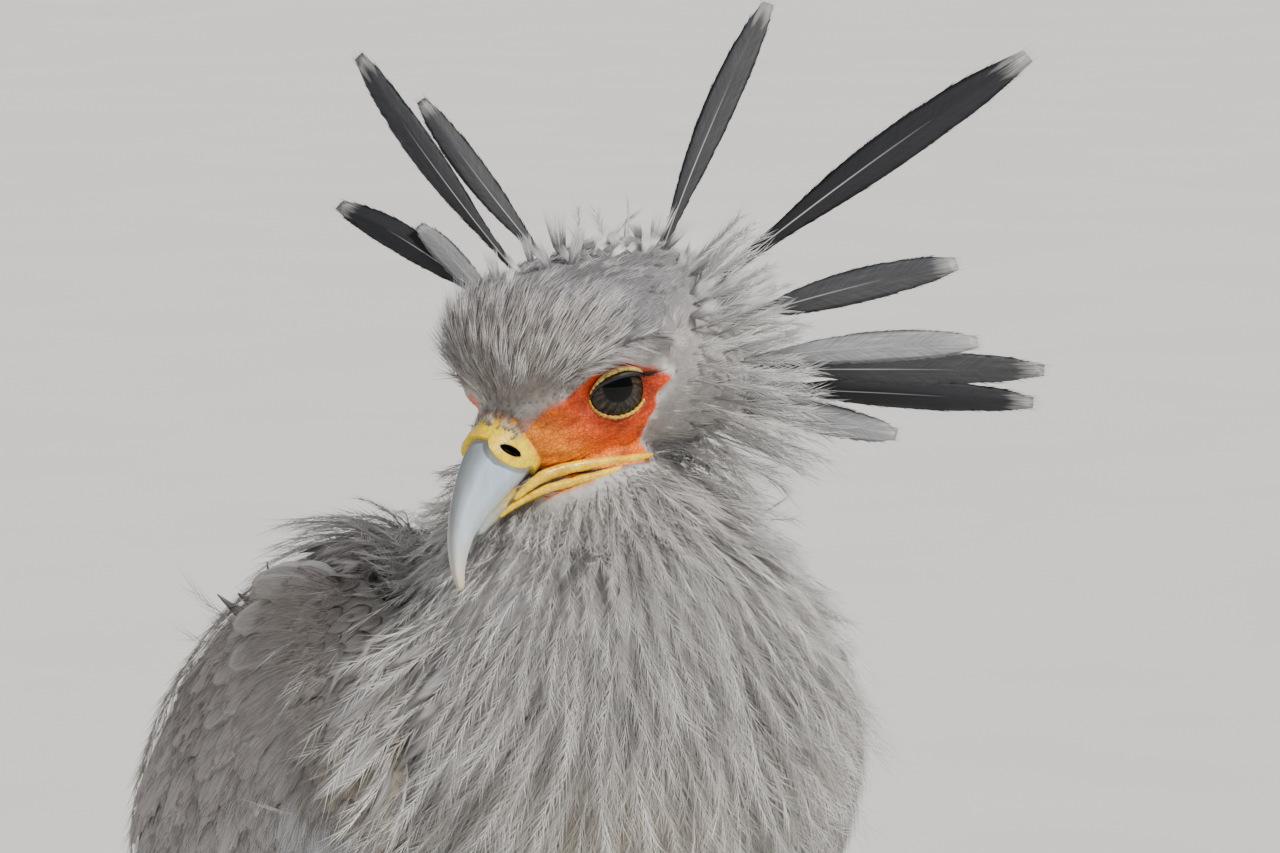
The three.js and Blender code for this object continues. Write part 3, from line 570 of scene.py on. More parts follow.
class Coat:
    """Gathers thousands of small feathers into one mesh with their colours and their map."""

    def __init__(self, seed):
        self.random = np.random.default_rng(seed)
        self.points, self.faces, self.tints, self.maps, self.vanes = [], [], [], [], []
        self.count = 0

    def lay(self, forms, root, along, face, length, width, tint, spot, bend=0.0, sweep=0.0, roll=0.0,
            thick=0.3, jag=0.0, patch=0.003):
        """Lays one feather at each root. spot is the root's place on the unwrapped skin."""
        n = len(root)
        along = unit(along)
        face = unit(face - along * np.sum(face * along, -1, keepdims=True))
        length, width, bend, sweep, roll, thick, patch = (
            np.broadcast_to(np.asarray(v, float), (n,)) for v in (length, width, bend, sweep, roll, thick, patch)
        )
        side = unit(np.cross(face, along))
        up = np.cross(along, side)
        turned = roll[:, None]
        side, up = side * np.cos(turned) + up * np.sin(turned), up * np.cos(turned) - side * np.sin(turned)
        pick = self.random.integers(0, len(forms), n)
        for number, form in enumerate(forms):
            rows, faces = form.arrays()
            chosen = np.nonzero(pick == number)[0]
            if not len(chosen):
                continue
            m = len(rows)
            s = np.repeat(rows[None, :, 0], len(chosen), 0)
            if jag:
                s = s + jag * self.random.normal(size=s.shape) * rows[None, :, 0]
            curl = np.where(np.abs(bend[chosen]) < 1e-4, 1e-4, bend[chosen])[:, None]
            turn = curl * s
            far = length[chosen, None]
            ahead = far * np.sin(turn) / curl
            rise = far * (1 - np.cos(turn)) / curl
            aside = far * sweep[chosen, None] * s * s / 2
            x = aside + rows[None, :, 1] * width[chosen, None] / 2 + rows[None, :, 3] * thick[chosen, None]
            y = rows[None, :, 2] * width[chosen, None] / 2 + rows[None, :, 4] * thick[chosen, None]
            points = (
                root[chosen, None]
                + along[chosen, None] * (ahead - y * np.sin(turn))[..., None]
                + up[chosen, None] * (rise + y * np.cos(turn))[..., None]
                + side[chosen, None] * x[..., None]
            )
            self.points.append(points.reshape(-1, 3))
            starts = self.count + np.arange(len(chosen)) * m
            self.faces.append((faces[None] + starts[:, None, None]).reshape(-1, 3))
            self.count += m * len(chosen)
            colours = np.repeat(tint[chosen][:, None, :], m, 1)
            self.tints.append(np.concatenate([colours, np.clip(s, 0, 1)[..., None]], -1).reshape(-1, 4))
            offset = np.stack([rows[:, 1] / 2, rows[:, 0] - 0.5], -1)
            spots = spot[chosen, None] + offset[None] * patch[chosen, None, None]
            self.maps.append(spots.reshape(-1, 2))
            lie = np.stack([np.repeat(rows[None, :, 1], len(chosen), 0), s * far / 10], -1)
            self.vanes.append(lie.reshape(-1, 2))
        return self

    def build(self, name):
        points = np.vstack(self.points)
        faces = np.vstack(self.faces)
        mesh = bpy.data.meshes.new(name)
        mesh.vertices.add(len(points))
        mesh.vertices.foreach_set("co", ((points + SHIFT) / 1000).astype(np.float32).ravel())
        mesh.loops.add(faces.size)
        mesh.loops.foreach_set("vertex_index", faces.astype(np.int32).ravel())
        mesh.polygons.add(len(faces))
        mesh.polygons.foreach_set("loop_start", np.arange(0, faces.size, 3, dtype=np.int32))
        mesh.update(calc_edges=True)
        piece = bpy.data.objects.new(name, mesh)
        bpy.context.scene.collection.objects.link(piece)
        set_values(piece, "tint", np.vstack(self.tints), "FLOAT_COLOR")
        corners = faces.ravel()
        for layer, values in (("OFBake", np.vstack(self.maps)), ("lie", np.vstack(self.vanes))):
            uv = mesh.uv_layers.new(name=layer)
            uv.data.foreach_set("uv", values[corners].astype(np.float32).ravel())
        mesh.uv_layers["OFBake"].active_render = True
        mesh.uv_layers.active = mesh.uv_layers["OFBake"]
        mesh.polygons.foreach_set("use_smooth", np.ones(len(faces), bool))
        if mesh.validate():
            raise RuntimeError(f"{name} holds faces that are not sound")
        return piece


# Where feathers stand


def scattered(piece, spacing, wanted, seed, crowd=3.2):
    """Evenly spread places on a skin where wanted(points, normals) holds, with the skin's normals there."""
    mesh = piece.data
    mesh.calc_loop_triangles()
    corners = np.empty(len(mesh.loop_triangles) * 3, np.int32)
    mesh.loop_triangles.foreach_get("vertices", corners)
    corners = corners.reshape(-1, 3)
    points = own_positions(piece)
    flat = np.empty(len(mesh.vertices) * 3, np.float32)
    mesh.vertices.foreach_get("normal", flat)
    normals = flat.reshape(-1, 3).astype(float)
    a, b, c = (points[corners[:, i]] for i in range(3))
    middle = (a + b + c) / 3
    keep = wanted(middle, normals[corners[:, 0]])
    corners, a, b, c = corners[keep], a[keep], b[keep], c[keep]
    area = np.linalg.norm(np.cross(b - a, c - a), axis=1) / 2
    random = np.random.default_rng(seed)
    tries = int(area.sum() / spacing**2 * crowd)
    pick = random.choice(len(area), tries, p=area / area.sum())
    u, v = random.random((2, tries))
    over = u + v > 1
    u[over], v[over] = 1 - u[over], 1 - v[over]
    w = 1 - u - v
    shares = np.stack([w, u, v], 1)
    spots = a[pick] * w[:, None] + b[pick] * u[:, None] + c[pick] * v[:, None]
    faces = unit((normals[corners[pick]] * shares[..., None]).sum(1))
    cells = {}
    kept = []
    index = np.floor(spots / spacing).astype(int)
    limit = spacing * spacing
    around = [(i, j, k) for i in (-1, 0, 1) for j in (-1, 0, 1) for k in (-1, 0, 1)]
    listed = spots.tolist()
    for number, (i, j, k) in enumerate(index.tolist()):
        x, y, z = listed[number]
        clear = True
        for di, dj, dk in around:
            for other in cells.get((i + di, j + dj, k + dk), ()):
                p, q, r = listed[other]
                if (p - x) ** 2 + (q - y) ** 2 + (r - z) ** 2 < limit:
                    clear = False
                    break
            if not clear:
                break
        if clear:
            cells.setdefault((i, j, k), []).append(number)
            kept.append(number)
    return spots[kept], faces[kept]


def inside(outline, points):
    """Signed distance of flat points to an outline, above 0 inside it."""
    x, y = points[:, 0], points[:, 1]
    best = np.full(len(points), 1e9)
    within = np.zeros(len(points), bool)
    for (ax, ay), (bx, by) in zip(outline, np.roll(outline, -1, 0)):
        ex, ey = bx - ax, by - ay
        t = np.clip(((x - ax) * ex + (y - ay) * ey) / (ex * ex + ey * ey), 0, 1)
        best = np.minimum(best, (x - ax - t * ex) ** 2 + (y - ay - t * ey) ** 2)
        crosses = (ay > y) != (by > y)
        with np.errstate(divide="ignore", invalid="ignore"):
            within ^= crosses & (x < ex * (y - ay) / (ey if ey else 1e-9) + ax)
    return np.where(within, np.sqrt(best), -np.sqrt(best))


def bareness(local):
    """How far inside the bare face each head point lies, in millimetres, below 0 among the feathers."""
    inner = inside(BARE_OUTLINE, local[:, 1:3]) + 0.7 * ripple(local, 3.2, 77)
    return np.minimum(inner, np.abs(local[:, 0]) - 7)


def spherical_map(local):
    """Places on the head's skin, unwrapped by compass and height."""
    way = unit(local - [0, 10, -4])
    return np.stack([0.5 + np.arctan2(way[:, 0], way[:, 1]) / 6.6, 0.5 + np.arcsin(way[:, 2]) / 3.4], -1)


def spine_map(spine, points, lift=0.0):
    """Places on a body's skin, unwrapped round its spine."""
    t = spine.nearest(points, 200)
    way = points - spine.line.at(t)
    along = spine.line.along(t)
    below = unit(np.cross(along, [1.0, 0, 0]))
    angle = np.arctan2(way[:, 0], np.sum(way * below, -1))
    ahead = np.sum(way * along, -1) / 700
    return np.stack([0.5 + angle / 6.6, 0.03 + 0.9 * np.clip(t + ahead, 0, 1) + lift], -1)


# Colours

PALETTE = {
    "crown": "#8f8d91", "brow": "#b0a59c", "cheek": "#cbc7c3", "nape": "#bdbbbb", "neck": "#bebbb9",
    "breast": "#cfccc8", "cream": "#dccfb4", "belly": "#aaa6a4", "vent": "#2b292b", "back": "#a5a1a1",
    "taupe": "#9b928c", "covert": "#a5a1a1", "pearl": "#ced3db", "black": "#1d1c20", "white": "#dddbd8",
    "ember": "#a52c08", "orange": "#e8500a", "amber": "#f0900c", "mantle": "#a19a96", "tail": "#918d8d",
    "leg": "#c79a86",
}
INK = {name: linear(code) for name, code in PALETTE.items()}


def body_tint(points):
    """The plumage's colour over neck, breast, belly and back."""
    centre = step(46 - np.abs(points[:, 0] + 6), 0, 40)
    front = step(-points[:, 1], 60, 120)
    low = step(820 - points[:, 2], 0, 90)
    tint = blend(INK["neck"], INK["breast"], low)
    tint = blend(tint, INK["cream"], centre * front * low * 0.9)
    rear = step(points[:, 1], 20, 150)
    tint = blend(tint, INK["belly"], rear * 0.8)
    torso = TORSO.line.at(TORSO.nearest(points, 80))
    above = step(points[:, 2] - torso[:, 2], 10, 60) * step(points[:, 1], -40, 20)
    tint = blend(tint, INK["back"], above)
    under = step(torso[:, 2] - points[:, 2], 5, 40) * step(points[:, 1], 70, 130)
    return blend(tint, INK["vent"], under * (1 - above))


def head_tint(local):
    """The plumage's colour over the head: grey crown, brownish brow, pale cheeks and throat."""
    top = step(local[:, 2], 4, 24)
    tint = blend(INK["cheek"], INK["crown"], top)
    brow = step(-local[:, 1], 2, 28) * step(local[:, 2], 0, 16)
    tint = blend(tint, INK["brow"], brow * 0.85)
    rear = step(local[:, 1], 20, 44)
    tint = blend(tint, INK["nape"], rear * 0.7)
    streak = step(ripple(local * [1, 0.5, 0.5], 9, 5), 0, 1)
    return blend(tint, tint * 0.78, streak * top)


def varied(tint, random, amount=0.1):
    """Each feather a little lighter or darker than the next."""
    return np.clip(tint * (1 + amount * random.normal(size=(len(tint), 1))), 0.002, 0.95)


# Finishes


class Nodes:
    """Adds nodes to a tree, with their inputs given as numbers or as sockets."""

    def __init__(self, tree):
        self.tree = tree

    def add(self, kind, inputs=None, **values):
        node = self.tree.nodes.new(kind)
        for key, value in values.items():
            setattr(node, key, value)
        for key, value in (inputs or {}).items():
            self.put(node.inputs[key], value)
        return node

    def put(self, socket, value):
        if isinstance(value, bpy.types.NodeSocket):
            self.tree.links.new(value, socket)
        else:
            socket.default_value = value

    def math(self, operation, a, b=0.0, c=0.0, clamp=False):
        return self.add("ShaderNodeMath", {0: a, 1: b, 2: c}, operation=operation, use_clamp=clamp).outputs[0]

    def mix(self, share, a, b, kind="MIX"):
        node = self.add("ShaderNodeMix", data_type="RGBA", blend_type=kind)
        self.put(node.inputs[0], share)
        self.put(node.inputs[6], a)
        self.put(node.inputs[7], b)
        return node.outputs[2]

    def noise(self, vector, scale, detail=3.0, roughness=0.5):
        return self.add(
            "ShaderNodeTexNoise", {"Vector": vector, "Scale": scale, "Detail": detail, "Roughness": roughness}
        ).outputs["Fac"]

    def range(self, value, low, high, to_low=0.0, to_high=1.0):
        return self.add("ShaderNodeMapRange", {0: value, 1: low, 2: high, 3: to_low, 4: to_high}).outputs[0]

    def ramp(self, value, stops):
        node = self.add("ShaderNodeValToRGB", {"Fac": value})
        elements = node.color_ramp.elements
        while len(elements) < len(stops):
            elements.new(0.5)
        for element, (at, colour) in zip(elements, stops):
            element.position = at
            element.color = (*linear(colour), 1)
        return node.outputs["Color"]


def group(name, inputs, outputs):
    """A new shader node group with named sockets. Returns its tree, nodes, entry and exit."""
    tree = bpy.data.node_groups.new(name, "ShaderNodeTree")
    for label, kind, value in inputs:
        socket = tree.interface.new_socket(name=label, in_out="INPUT", socket_type=kind)
        if value is not None:
            socket.default_value = value
    for label, kind in outputs:
        tree.interface.new_socket(name=label, in_out="OUTPUT", socket_type=kind)
    nodes = Nodes(tree)
    return nodes, nodes.add("NodeGroupInput").outputs, nodes.add("NodeGroupOutput").inputs


def feather_tone_group():
    """Paints shade and light along a feather: painted shade towards its root, where the feathers lie in each other's
    shade, and painted light towards its tip, with fine flecks.
    """
    name = "feather tone"
    if name in bpy.data.node_groups:
        return bpy.data.node_groups[name]
    nodes, given, out = group(
        name,
        [("Tint", "NodeSocketColor", None), ("Along", "NodeSocketFloat", 0.5), ("Place", "NodeSocketVector", None),
         ("Root Shade", "NodeSocketFloat", 0.5), ("Tip Light", "NodeSocketFloat", 1.1),
         ("Fleck", "NodeSocketFloat", 0.12)],
        [("Color", "NodeSocketColor"), ("Height", "NodeSocketFloat")],
    )
    fleck = nodes.noise(given["Place"], 700.0, 2.0)
    shade = nodes.add("ShaderNodeMapRange", {0: given["Along"], 1: 0.0, 2: 0.55, 3: given["Root Shade"], 4: 1.0})
    light = nodes.add("ShaderNodeMapRange", {0: given["Along"], 1: 0.6, 2: 1.0, 3: 1.0, 4: given["Tip Light"]})
    strength = nodes.math("MULTIPLY", shade.outputs[0], light.outputs[0])
    spread = nodes.math("MULTIPLY", nodes.math("SUBTRACT", fleck, 0.5), given["Fleck"])
    total = nodes.math("MULTIPLY", strength, nodes.math("ADD", spread, 1.0))
    scaled = nodes.add("ShaderNodeVectorMath", {0: given["Tint"], "Scale": total}, operation="SCALE")
    nodes.put(out["Color"], scaled.outputs[0])
    nodes.put(out["Height"], fleck)
    return nodes.tree


def barb_group():
    """Fine slanting barbs on both sides of a vane's shaft, and hair-like strands along it."""
    name = "vane barbs"
    if name in bpy.data.node_groups:
        return bpy.data.node_groups[name]
    nodes, given, out = group(
        name,
        [("Lie", "NodeSocketVector", None), ("Spacing", "NodeSocketFloat", 60.0), ("Slant", "NodeSocketFloat", 0.8),
         ("Shaft Width", "NodeSocketFloat", 0.05)],
        [("Height", "NodeSocketFloat"), ("Shaft", "NodeSocketFloat"), ("Edge", "NodeSocketFloat"),
         ("Streak", "NodeSocketFloat"), ("Strand", "NodeSocketFloat")],
    )
    split = nodes.add("ShaderNodeSeparateXYZ", {0: given["Lie"]})
    across = nodes.math("ABSOLUTE", split.outputs[0])
    run = nodes.math("SUBTRACT", split.outputs[1], nodes.math("MULTIPLY", across, given["Slant"]))
    wave = nodes.math("SINE", nodes.math("MULTIPLY", run, given["Spacing"]))
    slanted = nodes.add("ShaderNodeCombineXYZ", {0: nodes.math("MULTIPLY", across, 0.8), 1: nodes.math("MULTIPLY", run, 11.0)})
    straight = nodes.add("ShaderNodeCombineXYZ", {
        0: nodes.math("MULTIPLY", split.outputs[0], 9.0), 1: nodes.math("MULTIPLY", split.outputs[1], 0.7), 2: 4.0})
    streak = nodes.noise(slanted.outputs[0], 1.0, 3.0)
    nodes.put(out["Height"], nodes.math("ADD", nodes.math("MULTIPLY", wave, 0.3), streak))
    narrow = nodes.math("SUBTRACT", across, given["Shaft Width"])
    nodes.put(out["Shaft"], nodes.range(narrow, 0.0, 0.03, 1.0, 0.0))
    nodes.put(out["Edge"], nodes.range(across, 0.7, 1.0))
    nodes.put(out["Streak"], streak)
    nodes.put(out["Strand"], nodes.noise(straight.outputs[0], 1.0, 4.0, 0.6))
    return nodes.tree


def wrinkle_group():
    """Fine creases and pores of bare skin, with a colour mask of broad mottle that is painted darker in the creases as
    painted shade.
    """
    name = "skin creases"
    if name in bpy.data.node_groups:
        return bpy.data.node_groups[name]
    nodes, given, out = group(
        name,
        [("Place", "NodeSocketVector", None), ("Scale", "NodeSocketFloat", 300.0), ("Warp", "NodeSocketFloat", 0.4)],
        [("Height", "NodeSocketFloat"), ("Mask", "NodeSocketFloat")],
    )
    cells = nodes.add(
        "ShaderNodeTexVoronoi", {"Vector": given["Place"], "Scale": given["Scale"]}, feature="DISTANCE_TO_EDGE")
    broad = nodes.noise(given["Place"], nodes.math("MULTIPLY", given["Scale"], 0.35), 4.0, 0.6)
    fine = nodes.noise(given["Place"], nodes.math("MULTIPLY", given["Scale"], 2.2), 3.0, 0.6)
    crease = nodes.range(cells.outputs[0], 0.0, 0.12)
    height = nodes.math("ADD", nodes.math("MULTIPLY", crease, given["Warp"]), nodes.math("ADD", broad, fine))
    nodes.put(out["Height"], height)
    # The colour mask is broad mottle, painted darker along the creases as painted shade in them.
    nodes.put(out["Mask"], nodes.math("MULTIPLY", broad, nodes.range(crease, 0.0, 1.0, 0.6, 1.0)))
    return nodes.tree


def use_group(nodes, tree, inputs):
    node = nodes.add("ShaderNodeGroup", node_tree=tree)
    for key, value in inputs.items():
        nodes.put(node.inputs[key], value)
    return node.outputs


def new_finish(name, roughness, coat=0.0, coat_roughness=0.1, sheen=0.0, specular=0.5):
    """A material with its constant values on the shader, ready for its colour and bump."""
    finish = bpy.data.materials.new(name)
    finish.use_nodes = True
    nodes = Nodes(finish.node_tree)
    shader = finish.node_tree.nodes["Principled BSDF"]
    shader.inputs["Roughness"].default_value = roughness
    shader.inputs["Coat Weight"].default_value = coat
    shader.inputs["Coat Roughness"].default_value = coat_roughness
    shader.inputs["Sheen Weight"].default_value = sheen
    shader.inputs["Specular IOR Level"].default_value = specular
    return finish, nodes, shader


def place_of(nodes):
    return nodes.add("ShaderNodeTexCoord").outputs["Object"]


def bump(nodes, shader, height, strength, distance):
    node = nodes.add("ShaderNodeBump", {"Height": height, "Strength": strength, "Distance": distance})
    nodes.put(shader.inputs["Normal"], node.outputs[0])


def plumage_finish(name, root=0.5, tip=1.12, fleck=0.25, roughness=0.78, sheen=0.15):
    """Loose feathers: the stored tint, with painted shade darkening it towards the root and painted light paling it
    towards the tip.
    """
    if name in bpy.data.materials:
        return bpy.data.materials[name]
    finish, nodes, shader = new_finish(name, roughness, sheen=sheen, specular=0.3)
    tint = nodes.add("ShaderNodeAttribute", attribute_name="tint")
    tone = use_group(nodes, feather_tone_group(), {
        "Tint": tint.outputs["Color"], "Along": tint.outputs["Alpha"], "Place": place_of(nodes),
        "Root Shade": root, "Tip Light": tip, "Fleck": fleck,
    })
    nodes.put(shader.inputs["Base Color"], tone["Color"])
    bump(nodes, shader, tone["Height"], 0.2, 0.0004)
    return finish


def vane_finish(name, shaft, edge, tip=None, band=None, sheen=0.1, roughness=0.6, streaks=0.3, strands=0.0,
                edge_share=0.35, shaft_width=0.03, barbs_per_cm=20.0, shaft_end=1.2):
    """Firm vanes: slanting barbs, a shaft of its own colour and paler edges or tip."""
    if name in bpy.data.materials:
        return bpy.data.materials[name]
    finish, nodes, shader = new_finish(name, roughness, sheen=sheen, specular=0.35)
    tint = nodes.add("ShaderNodeAttribute", attribute_name="tint")
    lie = nodes.add("ShaderNodeUVMap", uv_map="lie").outputs[0]
    barbs = use_group(nodes, barb_group(), {
        "Lie": lie, "Spacing": barbs_per_cm * 2 * math.pi, "Slant": 0.9, "Shaft Width": shaft_width})
    # The tone adds painted shade towards each vane's root and painted light towards its tip.
    tone = use_group(nodes, feather_tone_group(), {
        "Tint": tint.outputs["Color"], "Along": tint.outputs["Alpha"], "Place": place_of(nodes),
        "Root Shade": 0.72, "Tip Light": 1.08, "Fleck": 0.15,
    })
    streak = nodes.range(barbs["Streak"], 0.3, 0.7, 1 - streaks, 1 + streaks * 0.6)
    strand = nodes.range(barbs["Strand"], 0.3, 0.7, 1 - strands, 1 + strands * 0.7)
    colour = nodes.add(
        "ShaderNodeVectorMath", {0: tone["Color"], "Scale": nodes.math("MULTIPLY", streak, strand)}, operation="SCALE"
    ).outputs[0]
    if band:
        along = tint.outputs["Alpha"]
        shown = nodes.math("MULTIPLY", nodes.range(along, band[0], band[0] + 0.03),
                           nodes.range(along, band[1], band[1] + 0.03, 1.0, 0.0))
        colour = nodes.mix(shown, colour, (*linear(band[2]), 1))
    edged = nodes.math("MULTIPLY", barbs["Edge"], edge_share)
    colour = nodes.mix(edged, colour, (*linear(edge), 1))
    if tip:
        jagged = nodes.math("ADD", tint.outputs["Alpha"], nodes.math("MULTIPLY", barbs["Strand"], 0.16))
        colour = nodes.mix(nodes.range(jagged, tip[0], tip[1]), colour, (*linear(tip[2]), 1))
    kept = nodes.range(tint.outputs["Alpha"], shaft_end - 0.3, shaft_end, 1.0, 0.0)
    colour = nodes.mix(nodes.math("MULTIPLY", barbs["Shaft"], kept), colour, (*linear(shaft), 1))
    nodes.put(shader.inputs["Base Color"], colour)
    height = nodes.math("ADD", barbs["Height"], nodes.math("MULTIPLY", barbs["Strand"], strands * 4))
    bump(nodes, shader, height, 0.3, 0.0003)
    return finish


# The skin


def eye_frame(side):
    """An eye's centre, the way it looks, the long axis of its opening and the way up across it."""
    turn = Matrix.Rotation(math.radians(side * EYE_TURN), 3, "Z")
    tilt = Matrix.Rotation(math.radians(-EYE_TILT), 3, "X")
    gaze = np.array(turn @ Vector((side, 0, 0)))
    back = np.array(turn @ tilt @ Vector((0, 1, 0)))
    rise = np.array(turn @ tilt @ Vector((0, 0, 1)))
    return np.array([side * EYE_SPREAD, 0, 0]), gaze, back, rise


def eye_distance(local, side):
    """How many openings' widths each head point lies from the middle of an eye's opening."""
    centre, gaze, back, rise = eye_frame(side)
    way = local - centre
    x, y = way @ back - EYE_AHEAD, way @ rise
    flat = np.sqrt((x / EYE_OPENING[0]) ** 2 + (y / EYE_OPENING[1]) ** 2)
    return np.where(way @ gaze > 0, flat, 9), np.arctan2(y, x)


def shape_face(local, depth):
    """Sinks the skin into a hollow round each eye, that the eye looks out of."""
    local = local.copy()
    for side in (-1, 1):
        # The hollow that each eye looks out of
        turn = np.array(Matrix.Rotation(math.radians(side * EYE_TURN), 3, "Z"))
        radii = np.array([16, 27, 17])
        centre = turn @ np.array([side * 39.5, -9, 2])
        centre = np.array([side * 39.5, -9, 2])
        way = (local - centre) @ turn / radii
        inner = 1 - way[:, 1] ** 2 - way[:, 2] ** 2
        sunk = (inner > 0) & (way[:, 0] * side > -np.sqrt(np.maximum(inner, 0)))
        way[sunk, 0] = -side * np.sqrt(inner[sunk])
        local = np.where(sunk[:, None], (way * radii) @ turn.T + centre, local)
    return local


def fold_face(local, normals):
    bare = step(bareness(local), -1.5, 2)
    moved = local.copy()
    for side in (-1, 1):
        centre, gaze, back, rise = eye_frame(side)
        d, round_ = eye_distance(local, side)
        way = local - centre
        far = np.linalg.norm(way, axis=1)
        out = way / far[:, None]
        lid = np.interp(d, [0, 0.93, 1.02, 1.14, 1.3, 1.6, 2.1], [11.8, 12.2, 13.6, 14.6, 14.5, 13.9, 11])
        # Folds run round the lower lid and behind the eye
        under = step(-np.sin(round_), -0.5, 0.5)
        waves = np.sin((d - 1.12) * 26 + 0.8 * ripple(local, 5, 3)) * step(d, 1.12, 1.2) * step(2.0 - d, 0, 0.5)
        lid = lid + waves * (0.1 + 0.28 * under) * (d < 2.1)
        goal = np.where(d < 1.02, np.minimum(far, lid), np.maximum(far, lid))
        share = step(2.1 - d, 0, 0.35)[:, None]
        moved = moved + (centre + out * goal[:, None] - local) * share * (d < 2.1)[:, None]
    # The lore and cheek are finely wrinkled
    d = np.minimum(eye_distance(local, -1)[0], eye_distance(local, 1)[0])
    grain = ripple(local * [1, 0.35, 1.6], 1.5, 9) * 0.16 + ripple(local * [1, 0.6, 1], 4, 12) * 0.25
    return moved + normals * (grain * bare * step(d, 1.5, 2.2))[:, None]


def make_skin(sizes):
    head = fused("head_skin", [
        body_on("skull", SKULL, 64, 60, head=True),
        ellipsoid("crown_form", (0, 4, 16), (45, 37, 26), head=True),
        ellipsoid("cheek_form", (0, 32, -10), (45, 25, 34), head=True),
        ellipsoid("chin_form", (0, 18, -30), (20, 26, 14), head=True),
        body_on("throat", NECK, 64, 48, end=0.08, inset=2),
    ], 1.36, 4)
    # Everything of the throat that lies below the head's own part goes to the coarser body
    cut_plane(head, (0, 0, 1), 842.0, True)
    local = shape_face(to_head(own_positions(head)), 0)
    place(head, from_head(local))
    apply_modifier(head, "SMOOTH", factor=0.5, iterations=5)
    local = to_head(own_positions(head))
    bare = bareness(local)
    flat = np.empty(len(head.data.vertices) * 3, np.float32)
    head.data.vertices.foreach_get("normal", flat)
    normals = flat.reshape(-1, 3).astype(float)
    points = own_positions(head)
    low = step(872 - points[:, 2], 0, 26)
    depth = sizes.head_depth * 1000 * (1 - step(bare, -3, 1.5))
    depth = depth + (sizes.coat_depth * 1000 - 2 - depth) * low
    inner = points - normals * depth[:, None]
    place(head, inner)
    # The bare face is twice as fine as the rest
    close = step(bareness(to_head(own_positions(head))), -2, -1) > 0.5
    shape = bmesh.new()
    shape.from_mesh(head.data)
    shape.verts.ensure_lookup_table()
    edges = [e for e in shape.edges if close[e.verts[0].index] and close[e.verts[1].index]]
    bmesh.ops.subdivide_edges(shape, edges=edges, cuts=1, use_grid_fill=True)
    bmesh.ops.triangulate(shape, faces=[f for f in shape.faces if len(f.verts) > 4])
    shape.to_mesh(head.data)
    shape.free()
    flat = np.empty(len(head.data.vertices) * 3, np.float32)
    head.data.vertices.foreach_get("normal", flat)
    local = fold_face(to_head(own_positions(head)), flat.reshape(-1, 3).astype(float) @ HEAD_ROTATION)
    place(head, from_head(local))

    depth = sizes.coat_depth * 1000
    bodies = [
        body_on("neck_form", NECK, 64, 48, end=0.08, inset=depth),
        body_on("torso_form", TORSO, 64, 64, inset=depth),
        body_on("rump_form", RUMP, 48, 24, end=0.2, inset=2),
    ]
    for side in (-1, 1):
        bodies.append(ellipsoid("mantle_form", (side * 50, -8, 806), (34, 52, 33)))
        bodies.append(body_on("wing_form", wing_spine(side), 64, 64, end=0.08, inset=2.5))
        bodies.append(body_on("thigh_form", thigh_spine(side), 48, 56, end=0.06, inset=depth * 0.6))
    body = fused("skin", bodies, 3.4, 4)
    cut_with(body, head, "UNION")
    skin = smooth(named(body, "skin"))
    # The throat runs into the neck without a step
    points = own_positions(skin)
    join = skin.vertex_groups.new(name="join")
    weight = step(points[:, 2], 816, 834) * step(866 - points[:, 2], 0, 14)
    for number in np.nonzero(weight > 0.01)[0]:
        join.add([int(number)], float(weight[number]), "REPLACE")
    apply_modifier(skin, "SMOOTH", factor=0.5, iterations=60, vertex_group="join")
    skin.vertex_groups.clear()
    points = own_positions(skin)
    local = to_head(points)
    height = step(points[:, 2], 838, 866)
    on_wing = step(10 - wing_places(points)[0], 0, 8)
    # The skin under the coat is painted darker, as shade in the gaps between the feathers: its tint is scaled by 0.66
    # on the body, by 0.85 on the wings, and on the head from 0.9 beside the bare face down to 0.6.
    coat_shade = 0.9 - 0.3 * step(-bareness(local), 2, 6)
    low = blend(body_tint(points) * 0.66, np.repeat(INK["mantle"][None] * 0.85, len(points), 0), on_wing)
    tint = blend(low, head_tint(local) * coat_shade[:, None], height)
    for side in (-1, 1):
        spine = thigh_spine(side)
        near = spine.line.at(spine.nearest(points, 60))
        close = np.linalg.norm(points - near, axis=1)
        tint = blend(tint, INK["black"], step(60 - close, 0, 14) * step(660 - points[:, 2], 0, 40))
    bare = step(bareness(local), -1.0, 1.2) * step(local[:, 2], -44, -36) * step(points[:, 2], 820, 830)
    yellow = step(-local[:, 2] - 0.25 * local[:, 1], 16, 27)
    amber = step(local @ SLANT, 14, 29)
    hide = blend(INK["orange"], INK["amber"], np.clip(amber + yellow * 0.8, 0, 1) * 0.75)
    hide = blend(hide, hide * [0.7, 0.42, 0.4], step(ripple(local * [1, 0.4, 1.5], 4, 21), 0.1, 1.1) * 0.6)
    d = np.minimum(eye_distance(local, -1)[0], eye_distance(local, 1)[0])
    hide = blend(hide, INK["ember"], step(1.5 - d, 0, 0.35) * 0.6)
    # The mouth line between the lips is painted dark, as painted shade in the crease where they meet
    line = np.interp(local[:, 1], [-37, -27, -18.5, -9.5, -1, 6], [-15.5, -17.8, -21.2, -25.2, -29, -31])
    hide = blend(hide, linear("#24140e"), step(1 - np.abs(line - 0.5 - local[:, 2]), 0, 0.6))
    set_values(skin, "tint", blend(tint, hide, bare), "FLOAT_COLOR")
    set_values(skin, "bare", bare)
    return skin


